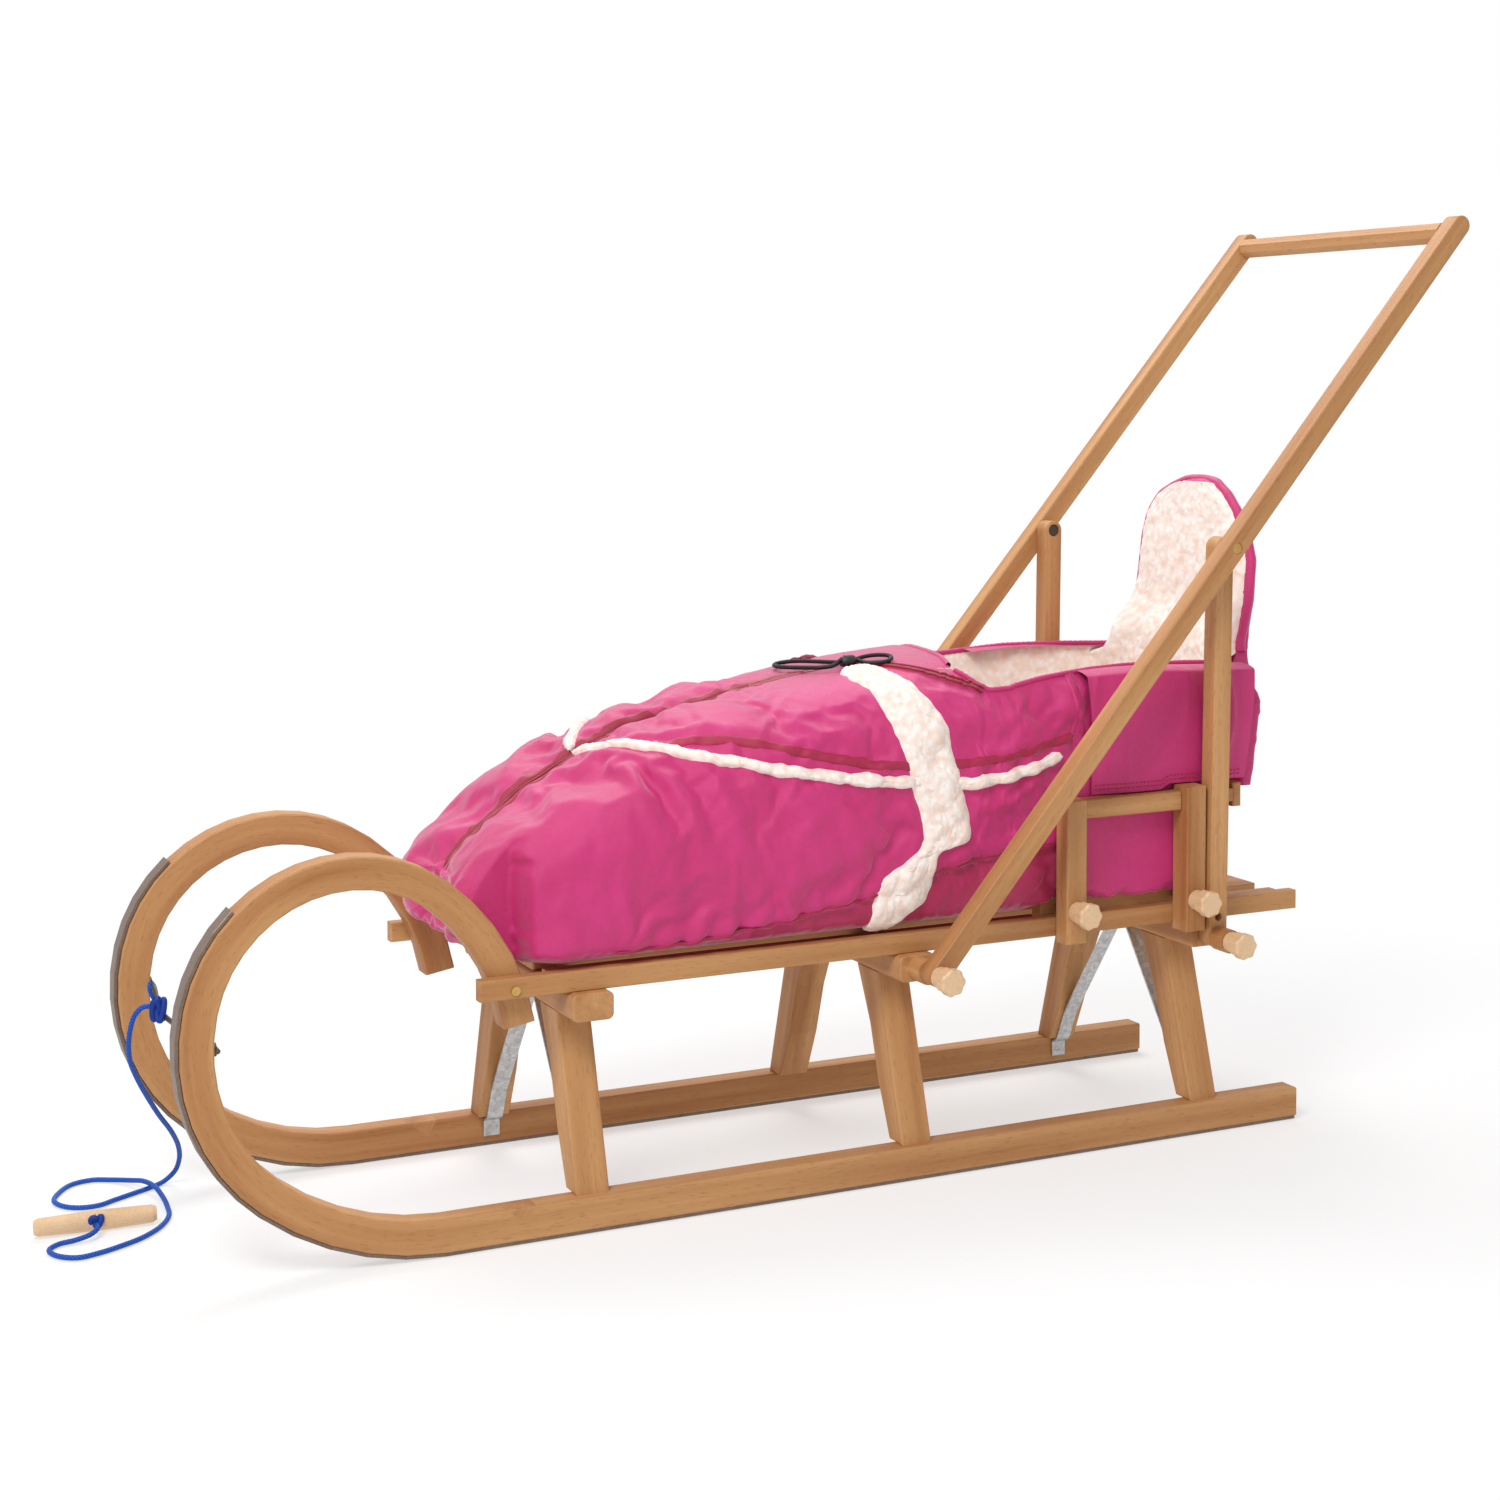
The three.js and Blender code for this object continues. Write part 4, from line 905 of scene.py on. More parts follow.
# %% Cloth simulation of the outer cloth
HOLD_WIDTH = 0.012
BENDING, PRESSURE, SPARE_CLOTH, MOST_MOVED = 0.6, 1.0, 0.09, 13.0
CLOTH_FRAMES = 20


def held_weights(points, grid_rows):
    """1 where the cloth is held fast, 0 where it is free."""
    column = np.tile(np.arange(COLUMNS), grid_rows)
    row = np.repeat(np.arange(grid_rows), COLUMNS)
    held = (np.minimum(column, COLUMNS - 1 - column) <= 1) | (row >= grid_rows - 2) | (row < 3)
    held |= (points[:, 1] > 786) & (points[:, 2] > 372)
    weights = np.maximum(held.astype(float), np.clip((SEAT + 14 - points[:, 2]) / 10, 0, 1))
    weights = np.maximum(weights, near_drawcord(points))
    seams = []
    base_seam = [(148.5, station, lower_seam(station)) for station in range(260, 690, 20)]
    lines = (TRIM, BELT_FRONT, BELT_REAR, base_seam)
    for side in (side for line in lines for side in both_sides(line)):
        seams += smooth_route(places(side), 0.003)[0]
    tree = KDTree(len(seams))
    for index, seam in enumerate(seams):
        tree.insert(seam, index)
    tree.balance()
    for index, point in enumerate(to_frame(points)):
        distance = tree.find(Vector(point))[2]
        if distance < HOLD_WIDTH:
            weights[index] = max(weights[index], 0.9 * math.sqrt(1 - distance / HOLD_WIDTH))
    return weights


def settled(points, grid_rows):
    mesh = bpy.data.meshes.new("settling")
    faces = grid_faces(grid_rows, COLUMNS, False)
    mesh.from_pydata([tuple(p) for p in to_frame(points)], [], faces)
    cloth = bpy.data.objects.new("settling", mesh)
    bpy.context.scene.collection.objects.link(cloth)
    group = cloth.vertex_groups.new(name="held")
    for index, weight in enumerate(held_weights(points, grid_rows)):
        group.add([index], float(weight), "REPLACE")
    modifier = cloth.modifiers.new("cloth", "CLOTH")
    settings = modifier.settings
    settings.quality, settings.mass, settings.air_damping = 5, 0.2, 3
    settings.tension_stiffness = settings.compression_stiffness = 20
    settings.shear_stiffness, settings.bending_stiffness = 8, BENDING
    settings.tension_damping = settings.compression_damping = settings.shear_damping = 8
    settings.vertex_group_mass, settings.pin_stiffness = "held", 20
    settings.use_pressure, settings.uniform_pressure_force = True, PRESSURE
    settings.shrink_min = -SPARE_CLOTH
    settings.effector_weights.gravity = 0
    modifier.collision_settings.use_collision = False
    for index in range(1, CLOTH_FRAMES + 1):
        bpy.context.scene.frame_set(index)
    shaped = cloth.evaluated_get(bpy.context.evaluated_depsgraph_get()).to_mesh()
    settled_points = np.array([tuple(v.co) for v in shaped.vertices])
    moved = settled_points * 1000 + [0, ORIGIN_STATION, 0] - points
    bpy.context.scene.frame_set(1)
    bpy.data.objects.remove(cloth)
    distance = np.linalg.norm(moved, axis=1)
    average, most = round(distance.mean(), 1), round(distance.max(), 1)
    print("the cloth moved", average, "mm on average and", most, "at most")
    limit = MOST_MOVED * np.tanh(distance / MOST_MOVED) / np.maximum(distance, 1e-9)
    return points + moved * limit[:, None]


outer = settled(outer, outer_rows)

# Where the muff has to keep clear of the wood: the posts, the clamp boards, the horns and the
# back slat
POSTS_FROM, ARM_BAR_TOP, POST_HALF = 722, 392, 146.6
BOARD_FROM, BOARD_TO, BOARD_INNER, BOARD_OUTER, BOARD_TOP = 724, 929, 112.4, 134.6, 275.4
HORNS_TO, HORN_TOP, HORN_HALF = 148, 461, 105.5
SLAT_HEIGHTS = [386, 398]
NO_LIMIT = 400.0


def clear_of_frame(points):
    """The muff stays inside the armrest posts and above the boards that clamp them."""
    x, y, z = points.T.copy()
    most = np.full(len(points), NO_LIMIT)
    most[(y > POSTS_FROM) & (z < ARM_BAR_TOP)] = POST_HALF
    beside_board = (y > BOARD_FROM) & (y < BOARD_TO)
    beside_board &= (np.abs(x) > BOARD_INNER) & (np.abs(x) < BOARD_OUTER)
    z = np.where(beside_board, np.maximum(z, BOARD_TOP), z)
    most[(y < HORNS_TO) & (z < HORN_TOP)] = HORN_HALF
    x = np.clip(x, -most, most)
    y = np.minimum(y, np.interp(z, SLAT_HEIGHTS, [960.8, 1010]))
    return np.stack([x, y, np.maximum(z, SEAT + 0.3)], 1)


outer = clear_of_frame(outer)

# %% [markdown]
# ## Cloth and fleece finishes
# The outer cloth is a coated nylon: close to plain from afar, with a fine weave and a soft sheen.
# The lining is curly fleece. Its tufts are little bumps, cream on top, and the valleys between
# them carry a pinker painted shade. The same two finishes serve every part of the muff, so the
# pieces look cut from one roll.

# %% Nylon, zip tape and fleece
def nylon_finish(name, colour, deep, weave=0.0007):
    finish = Finish(name)
    place = finish.place()
    x, y, z = finish.parts(place)
    broad = finish.noise(place, 9, 3, 0.55)
    mottle = finish.noise(place, 160, 3, 0.6)
    warp = ((x + y) * (math.pi / weave)).sine()
    weft = ((z - y * 0.3) * (math.pi / weave)).sine()
    base = finish.mix((broad * 0.8 - 0.1 + mottle * 0.3).clamped(), colour, deep)
    crinkle = finish.noise(place, 34, 4, 0.55, 1.2)
    normal = finish.bump(warp * weft * 0.15 + mottle * 0.2 + crinkle * 2.0, 0.34, 0.0022)
    rough = 0.44 + mottle * 0.12
    return finish.shaded(
        Base_Color=base, Roughness=rough, Normal=normal, Sheen_Weight=0.48, Sheen_Roughness=0.35
    )


def fleece_finish(name, pale, valley_shade):
    finish = Finish(name)
    place = finish.place()
    bent = finish.noise(place, 60, 2)
    x, y, z = finish.parts(place)
    warped = finish.joined(*(axis + bent * 0.010 for axis in (x, y, z)))
    tufts = finish.cells(warped, 135, "SMOOTH_F1")
    curls = finish.noise(warped, 420, 3, 0.65, 0.8)
    blotch = finish.noise(place, 22, 2)
    # the depth between tufts, which sets how much painted shade the valleys get
    depth = (tufts * 1.4 + curls * 0.6 - 0.42).clamped()
    base = finish.mix((depth + blotch * 0.25 - 0.12).clamped(), pale, valley_shade)
    normal = finish.bump(curls * 0.8 - tufts * 1.1, 0.4, 0.0020)
    return finish.shaded(Base_Color=base, Roughness=0.93, Normal=normal, Sheen_Weight=0.5)


nylon = nylon_finish("pink_nylon", written(212, 46, 130), written(180, 26, 84))
# a darker copy of the nylon: painted shade for the base below the side seam
nylon_painted_shade = nylon_finish("pink_nylon_painted_shade", written(184, 34, 92), written(162, 22, 68))
nylon_dark = nylon_finish("deep_pink_nylon", written(176, 20, 74), written(150, 12, 54))
zip_tape = nylon_finish("zip_tape", written(170, 30, 66), written(140, 20, 50), 0.0012)
# the second colour is the painted shade in the valleys between the tufts
fleece = fleece_finish("cream_fleece", written(255, 250, 244), written(244, 214, 198))
print("cloth finishes ready")

# %% [markdown]
# Now the outer cloth becomes a mesh. Its rear end is closed by joining the near half of the last
# cross-section to the far half, like sewing the back of a bag. Below the seam on its side, where
# the bag's base is sewn on, the cloth lies in the shade of the bulging cloth above. A darker copy
# of the nylon paints that shade onto those faces.

# %% Sew the outer cloth
muff_faces = grid_faces(outer_rows, COLUMNS, False)
last_row = (outer_rows - 1) * COLUMNS
for i in range(COLUMNS // 2 - 1):
    j = COLUMNS - 1 - i
    muff_faces.append((last_row + i, last_row + i + 1, last_row + j - 1, last_row + j))
shell = new_piece("muff_shell", to_frame(outer), muff_faces, nylon)
shell.data.materials.append(nylon_painted_shade)
# faces below the side seam get the painted shade
BASE_FRONT, BASE_REAR = 232, 750
for polygon in shell.data.polygons:
    x, y, z = outer[list(polygon.vertices)].mean(axis=0)
    if BASE_FRONT < y < BASE_REAR and z < lower_seam(y) - 1:
        polygon.material_index = 1
cloth_surface = BVHTree.FromPolygons([tuple(v) for v in to_frame(outer)], muff_faces)
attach(shell, FRAME_BODY)
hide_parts("muff_body")
finer = shell.modifiers.new("finer", "SUBSURF")
finer.levels = finer.render_levels = 1
print("shell has", len(muff_faces), "faces")


# %% [markdown]
# ## The fleece lining
# The lining follows the inside of the bag. At the rim it starts on the very edge of the outer
# cloth and dives in behind the padding. In front it continues as a dark tunnel for the feet.

# %% Lining
def fleece_lumps(points, size=1.0):
    out = []
    for point in points:
        p = Vector(point)
        lump = noise.noise(p * 0.085) * 1.3 + abs(noise.noise(p * 0.19)) * 1.9
        out.append(size * (lump + 0.6 * noise.noise(p * 0.5)))
    return np.array(out)


LINING_COLUMNS = 200
LINING_DEPTH, RIM_DEPTH = 26, 15
LINING_FLOOR = 284
lining_stations = np.concatenate([
    np.arange(340, KNOT_STATION, 12.0), np.arange(KNOT_STATION, 991, 3.0)
])
inner = np.concatenate([muff_section(station, LINING_COLUMNS) for station in lining_stations])
inner_rows = len(lining_stations)
sections = inner.reshape(inner_rows, LINING_COLUMNS, 3)
steps = np.linalg.norm(np.diff(sections, axis=1), axis=2).mean(axis=1)
column = np.arange(LINING_COLUMNS)
from_edge = np.minimum(column, column[::-1])[None, :] * steps[:, None]
at_mouth = np.clip((inner[::LINING_COLUMNS, 1] - KNOT_STATION) / 12, 0, 1)[:, None]
behind_rim = LINING_DEPTH - (LINING_DEPTH - RIM_DEPTH) * at_mouth
depth = behind_rim * (1 - np.exp(-from_edge / 13) * at_mouth)
depth = depth + LINING_DEPTH * (1 - np.exp(-from_edge / 90)) + 0.5
lumps = fleece_lumps(inner, 1.6)
inner = displaced(inner, inner_rows, LINING_COLUMNS, -depth.ravel() + lumps)
inner[:, 1] = np.minimum(inner[:, 1], np.interp(inner[:, 2], SLAT_HEIGHTS, [956, 1010]))
inner[:, 2] = np.maximum(inner[:, 2], LINING_FLOOR)
lining_faces = [tuple(reversed(face)) for face in grid_faces(inner_rows, LINING_COLUMNS, False)]
middle_front = len(inner)
inner = np.concatenate([inner, [inner[:LINING_COLUMNS].mean(axis=0)]])
lining_faces += [(i, i + 1, middle_front) for i in range(LINING_COLUMNS - 1)]
lining = new_piece("muff_lining", to_frame(inner), lining_faces, fleece)
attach(lining, FRAME_BODY)
print("lining has", len(lining_faces), "faces")

# %% [markdown]
# ## The hood
# The muff's back rises above the bag as a hood. It is a flat pad with a fleece front, a pink side
# band and a pink back, and it leans back against the slat behind it. Its top has slumped a little
# to one side. The pad is built as a stack of thin rounded rings, one above the other.

# %% Hood pad
HOOD_NEAR = np.array([
    (300, 138), (372, 142), (468, 140), (488, 122), (508, 106), (530, 100), (577, 105),
    (622, 101), (650, 86), (676, 63), (695, 40), (707, 18), (711, -8),
])
HOOD_FAR = np.array([
    (300, -138), (372, -142), (468, -140), (488, -122), (508, -106), (530, -100), (577, -105),
    (640, -107), (669, -102), (690, -84), (702, -58), (709, -33), (711, -10),
])
HOOD_FOOT, HOOD_LEAN, HOOD_THICK = 978.0, math.tan(math.radians(8.5)), 26.0
HOOD_LOW, HOOD_ROUND, HOOD_ROUNDING = 372, 690, 22
HOOD_COUNT = 160


def hood_station(height):
    return HOOD_FOOT + 1.2 + (height - HOOD_LOW) * HOOD_LEAN


def hood_edges(height):
    return [np.interp(height, edge[:, 0], edge[:, 1]) for edge in (HOOD_NEAR, HOOD_FAR)]


def hood_ring(height, count):
    near, far = hood_edges(height)
    middle, half = (near + far) / 2, max((near - far) / 2, 0.5)
    past = max(0.0, height - HOOD_ROUND) / HOOD_ROUNDING
    top_share = math.sqrt(max(0.0, 1 - past ** 2))
    turn = np.linspace(0, 2 * np.pi, count, endpoint=False)
    x = middle + half * np.sign(np.cos(turn)) * np.abs(np.cos(turn)) ** 0.35
    share = np.sign(np.sin(turn)) * np.abs(np.sin(turn)) ** 0.5
    y = hood_station(height) + HOOD_THICK / 2 * (1 + share * top_share)
    return np.stack([x, y, np.full(count, height)], 1)


hood_heights = np.concatenate([np.arange(376, 660, 4.0), np.arange(660, 711.5, 1.5)])
hood_points = np.concatenate([hood_ring(height, HOOD_COUNT) for height in hood_heights])
for point in hood_points:
    point[1] += 1.8 * swell(tuple(point), 0.02, 31.0)
    crease = ridge(tuple(point), 0.02, (1.4, 1.0, 0.7), 37.0)
    point[1] += 2.2 * crease ** 2 * (point[1] > hood_station(point[2]) + 12)
hood_faces = grid_faces(len(hood_heights), HOOD_COUNT, True)
hood_faces.append(tuple(reversed(range(HOOD_COUNT))))
hood_faces.append(tuple((len(hood_heights) - 1) * HOOD_COUNT + k for k in range(HOOD_COUNT)))
hood = new_piece("muff_hood_pad", to_frame(hood_points), hood_faces, nylon)
hood.data.materials.append(fleece)
FLEECE_FROM, FLEECE_WRAP = 515, 5
for polygon in hood.data.polygons:
    middle = hood_points[list(polygon.vertices)].mean(axis=0)
    if middle[2] > FLEECE_FROM and middle[1] < hood_station(middle[2]) + FLEECE_WRAP:
        polygon.material_index = 1
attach(hood, FRAME_BODY)
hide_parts("muff_hood")

FACE_ROWS, FACE_COLUMNS = 150, 90
FACE_FOOT, FACE_TOP = 300, 706
PAD_PUFF, SEAT_PUFF, WING_PUFF = 5.0, 17.0, 30.0
face_points = []
for height in np.linspace(FACE_FOOT, FACE_TOP, FACE_ROWS):
    near, far = hood_edges(height)
    inset = 2.0 if height > 520 else 0.5
    for share in np.linspace(0, 1, FACE_COLUMNS):
        x = (near - inset) * (1 - share) + (far + inset) * share
        puff = PAD_PUFF * (4 * share * (1 - share)) ** 0.35
        puff = puff + SEAT_PUFF * (1 - soft_step(height, 528, 575))
        wing = WING_PUFF * max(0.0, 1 - share * 5) ** 2
        wing = wing + WING_PUFF * max(0.0, 1 - (1 - share) * 5) ** 2
        puff += wing * soft_step(height, 440, 500) * (1 - soft_step(height, 520, 600))
        edge = max(0.0, 1 - min(share, 1 - share) / 0.06) ** 2 * soft_step(height, 500, 520)
        puff = puff * (1 - edge) - 5.0 * edge
        face_points.append((x, hood_station(height) - puff + 1.5, height))
face_points = np.array(face_points)
face_points[:, 1] -= fleece_lumps(face_points, 1.3)
face_faces = grid_faces(FACE_ROWS, FACE_COLUMNS, False)
face = new_piece("hood_fleece", to_frame(face_points), face_faces, fleece)
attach(face, FRAME_BODY)
print("hood ready")

# %% [markdown]
# ## Strips that lie on the cloth
# Zip tapes, fleece trims and the belt all lie on the outer cloth. Each is a strip whose points are
# dropped onto the nearest place of the cloth and then lifted a little. A strip that hugs the
# surface this way follows every fold below it, as a sewn piece does.

# %% Strips dropped onto the cloth
HEM_DEPTH = 0.0012


def on_cloth(point, lift):
    near, normal, _, _ = cloth_surface.find_nearest(Vector(point))
    return near + normal * lift


def even_rows(points, count):
    points = np.array([tuple(p) for p in points])
    run = np.concatenate([[0], np.cumsum(np.linalg.norm(np.diff(points, axis=0), axis=1))])
    even = np.linspace(0, run[-1], count)
    return np.stack([np.interp(even, run, points[:, k]) for k in range(3)], 1)


def laid(name, flats, lifts, rows, columns, finish):
    """Drop a grid onto the cloth, even it out and lift it along its own normals."""
    drops = [cloth_surface.find_nearest(Vector(flat)) for flat in flats]
    grid = np.array([tuple(drop[0]) for drop in drops]).reshape(rows, columns, 3)
    outward = np.array([tuple(drop[1]) for drop in drops]).reshape(rows, columns, 3)
    for _ in range(6):
        grid[1:-1] = (grid[:-2] + 2 * grid[1:-1] + grid[2:]) / 4
        grid[:, 1:-1] = (grid[:, :-2] + 2 * grid[:, 1:-1] + grid[:, 2:]) / 4
    normals = np.cross(np.gradient(grid, axis=1), np.gradient(grid, axis=0))
    normals /= np.maximum(np.linalg.norm(normals, axis=2, keepdims=True), 1e-9)
    turned = (normals * outward).sum() < 0
    vertices = grid + (-normals if turned else normals) * np.reshape(lifts, (rows, columns, 1))
    strip = new_piece(name, vertices.reshape(-1, 3), grid_faces(rows, columns, False), finish)
    if turned:
        strip.data.flip_normals()
    return strip


def strip_between(name, left, right, rows, columns, lift, finish, lumps=0.0, ragged=0.0):
    """A strip between two edge lines, thickest in its middle, with all sizes in metres."""
    left = even_rows(smooth_route(left, 0.002)[0], rows)
    right = even_rows(smooth_route(right, 0.002)[0], rows)
    flats, lifts = [], []
    for row in range(rows):
        edge = Vector(left[row])
        across = (Vector(right[row]) - edge).normalized()
        for column in range(columns):
            share = column / (columns - 1)
            tear = ragged * noise.noise(edge * 130 + Vector((share * 2, 0, 0)))
            tear += ragged * 0.6 * noise.noise(edge * 420 + Vector((share * 2, 5, 0)))
            flat = edge.lerp(Vector(right[row]), share) + across * tear * (2 * share - 1)
            lump = lumps * (abs(noise.noise(flat * 260)) + 0.8 * abs(noise.noise(flat * 120)))
            flats.append(flat)
            bulge = 1 - abs(2 * share - 1) ** 5
            lifts.append(-HEM_DEPTH + (lift + lump + HEM_DEPTH) * bulge)
    return laid(name, flats, lifts, rows, columns, finish)


def strip_along(
    name, line, half_width, lift, finish,
    columns=9, spacing=0.0015, lumps=0.0, ragged=0.0, sideways=0.0,
):
    """A strip of a given width along a line on the cloth."""
    path, _ = smooth_route(line, spacing)
    rows = len(path)
    flats, lifts = [], []
    for row, point in enumerate(path):
        tangent = (path[min(row + 1, rows - 1)] - path[max(row - 1, 0)]).normalized()
        _, normal, _, _ = cloth_surface.find_nearest(point)
        side = tangent.cross(normal).normalized()
        taper = min(1.0, row / 5 + 0.15, (rows - 1 - row) / 5 + 0.15)
        for column in range(columns):
            share = 2 * column / (columns - 1) - 1
            broad = noise.noise(point * 150 + Vector((share, 3, 0)))
            tear = ragged * (broad + 0.6 * noise.noise(point * 480))
            flat = point + side * (sideways + share * (half_width * taper + tear))
            lump = lumps * (abs(noise.noise(flat * 300)) + 0.7 * abs(noise.noise(flat * 130)))
            flats.append(flat)
            lifts.append(-HEM_DEPTH + (lift + lump + HEM_DEPTH) * (1 - abs(share) ** 4))
    return laid(name, flats, lifts, rows, columns, finish)


print("strip helpers ready")

# %% [markdown]
# ## The centre zip
# A zip is two woven tapes sewn under the cloth's folded edges, with a line of coils between them.
# The tapes are dark red. They start at the foot of the blunt nose and run up to the drawcord.

# %% Zip tapes and coils
ZIP_LINE = [
    (0, 115, 282), (0, 118, 305), (0, 120, 322), (0, 142, 371), (0, 168.5, 396.5), (0, 190, 413),
    (0, 217, 429), (0, 239, 441), (0, 267, 452), (0, 300, 468), (0, 346, 480), (0, 392, 489),
    (0, 444, 504), (0, 486, 509), (0, 510, 512), (0, 558, 515),
]
OPEN_ZIP = [
    (4, 566, 518), (20, 571, 520), (45, 580, 521), (84, 605, 519), (108, 631, 512), (126, 662, 500)
]
COIL_PITCH, COIL_BITE, COIL_SIDES = 0.0026, 0.0004, 8
TAPE_GAP = 0.0074


def coils(name, path, radius):
    """The coils of a zip: a thin tube that swells once per tooth."""
    def radius_at(run, angle):
        return radius + COIL_BITE * math.sin(run * 2 * math.pi / COIL_PITCH)

    return plain_tube(name, path, radius_at, COIL_SIDES, zip_tape)


muff_parts = [lining, face]
zip_pieces = [
    strip_along(f"zip_tape_{side}", places(ZIP_LINE), 0.0056, 0.0018, zip_tape, sideways=gap)
    for side, gap in (("near", TAPE_GAP), ("far", -TAPE_GAP))
]
zip_route, _ = smooth_route(places(ZIP_LINE), 0.0008)
zip_pieces.append(coils("zip_coils", [on_cloth(point, 0.0008) for point in zip_route], 0.0015))

open_tape = strip_along(
    "open_zip_tape", places(OPEN_ZIP), 0.0062, 0.0018, zip_tape, sideways=0.004
)
zip_pieces.append(open_tape)
open_route, _ = smooth_route(places(OPEN_ZIP), 0.0008)
for shift in (0.0, 0.007):
    path = [on_cloth(point + Vector((shift, -shift * 0.6, 0)), 0.002) for point in open_route]
    zip_pieces.append(coils(f"open_zip_coils_{round(shift * 1000)}", path, 0.0014))
muff_parts += zip_pieces
print(len(zip_pieces), "zip pieces")

# %% [markdown]
# ## Fleece trims and the belt
# A fleece edging runs from the zip along each side of the muff, just below a second zip in deep
# pink. A wide fleece belt crosses the lap and hangs down beside the seat, where it narrows and
# ends in a loose tongue. Its edges were cut by hand, so they are ragged. The far side is hidden in
# the photograph and mirrors the near one, but its top ends are shorter, because none of them shows
# there.

# %% Trims and belt
EDGING = {"columns": 13, "lumps": 0.0018, "ragged": 0.0026}
for index, (side, sign) in enumerate((("left", 1), ("right", -1))):
    trim, side_zip, belt_front, belt_rear = (
        places(both_sides(line)[index]) for line in (TRIM, SIDE_ZIP, BELT_FRONT, BELT_REAR)
    )
    if side == "right":
        side_zip, belt_front, belt_rear = side_zip[1:], belt_front[2:], belt_rear[2:]
    base_line = places((sign * 150, y, lower_seam(y)) for y in range(BASE_FRONT, BASE_REAR, 22))
    pieces = [
        strip_along(f"side_zip_{side}", side_zip, 0.0062, 0.0016, nylon_dark),
        strip_along(f"fleece_trim_{side}", trim, 0.0066, 0.0050, fleece, **EDGING),
        strip_between(
            f"fleece_belt_{side}", belt_front, belt_rear, 190, 48, 0.0056, fleece, 0.0018, 0.0030
        ),
        strip_along(f"base_seam_{side}", base_line, 0.0022, 0.0014, nylon_dark, columns=5),
    ]
    muff_parts += pieces
print("trims and belts laid on the cloth")

# %% [markdown]
# ## Rims of the mouth
# The mouth's edge is bound with a narrow folded strip. Such a binding is a small roll of cloth, so
# a thin tube along the edge of the outer cloth stands for it. The hood has the same binding round
# its fleece face.

# %% Bound edges
MOUTH_STATION = 641
BINDING_SIDES, RIM_BINDING, HOOD_BINDING = 12, 0.0030, 0.0050
outer_frame = to_frame(outer).reshape(outer_rows, COLUMNS, 3)
mouth_from = (MOUTH_STATION - ORIGIN_STATION) / 1000
mouth_rows = [row for row in range(outer_rows) if outer_frame[row, 0, 1] > mouth_from]
bindings = []
for name, column in (("rim_binding_near", 0), ("rim_binding_far", COLUMNS - 1)):
    line = [Vector(outer_frame[row, column]) for row in mouth_rows]
    path, _ = smooth_route(line[::2], 0.003)
    bindings.append(plain_tube(
        name, path, lambda run, angle: RIM_BINDING + 0.0003 * math.sin(run * 900),
        BINDING_SIDES, nylon,
    ))

hood_edge = []
for height in np.concatenate([np.arange(520, 690, 12.0), np.arange(690, 709, 4.0)]):
    hood_edge.append(at(hood_edges(height)[0] + 1, hood_station(height) + 11, height))
hood_edge.append(at(-9, hood_station(709) + 14, 709.5))
for height in np.concatenate([np.arange(708, 690, -4.0), np.arange(688, 519, -12.0)]):
    hood_edge.append(at(hood_edges(height)[1] - 1, hood_station(height) + 11, height))
path, _ = smooth_route(hood_edge, 0.003)
bindings.append(plain_tube(
    "hood_binding", path, lambda run, angle: HOOD_BINDING, BINDING_SIDES, nylon
))
muff_parts += bindings
print(len(bindings), "bindings")

# %% [markdown]
# ## Side panels
# At the rear the bag has a flat cloth panel on each side, which stands on the armrest bar. Its top
# turns inwards over the rim, and its lower edge is a hem with two rows of stitches. The panel
# hangs from the hood's side, so upright folds run down from the rim.

# %% Side panels
PANEL_ROWS, PANEL_COLUMNS = 90, 80
PANEL_FRONT, PANEL_HEM, PANEL_TOP = 783, 381.8, 507.0
ROLL_FROM, ROLL_WIDTH, ROLL_REACH = 0.84, 0.16, 40


def panel_point(share_back, share_up):
    """A place on the left side panel, from its front to its rear and from its hem to its roll."""
    low = PANEL_HEM + 5.9 * soft_step(PANEL_FRONT + 207 * share_back, 872, 886)
    top = PANEL_TOP + 2.0 * math.sin(share_back * 5.0)
    height = low + (top - low) * min(1.0, share_up / ROLL_FROM)
    rear = 981 + 0.16 * (height - 389)
    station = PANEL_FRONT + (rear - PANEL_FRONT) * share_back
    x = 149.5 + 4.5 * soft_step(station, 786, 830) - 9.0 * ((height - low) / (top - low)) ** 5
    fold = 2.6 * ridge((station, 0, height * 0.35), 0.021, (1.0, 1.0, 1.0), 41.0) ** 2
    fold += 1.5 * swell((station, 0, height), 0.02, 43.0)
    x += fold * soft_step(height - low, 0, 30) - 0.4
    if share_up > ROLL_FROM:
        over = (share_up - ROLL_FROM) / ROLL_WIDTH
        x -= ROLL_REACH * over ** 1.3
        height += 5 * math.sin(over * math.pi * 0.75)
    return x, station, height


for side, sign in (("left", 1), ("right", -1)):
    vertices = []
    for row in range(PANEL_ROWS):
        for column in range(PANEL_COLUMNS):
            x, station, height = panel_point(row / (PANEL_ROWS - 1), column / (PANEL_COLUMNS - 1))
            vertices.append(at(sign * x, station, height))
    panel_faces = grid_faces(PANEL_ROWS, PANEL_COLUMNS, False)
    panel = new_piece(f"side_panel_{side}", vertices, panel_faces, nylon)
    if sign > 0:
        panel.data.flip_normals()
    muff_parts.append(panel)
print("side panels hung")

# %% [markdown]
# ## Hems and stitches
# Rows of stitches give away how the bag is sewn. The side panel's hem has two rows. The rear edge
# of the bag's upper cloth is folded over in a hem of its own, also with two rows. A stitch is a
# short dash of thread that sinks in at both ends.

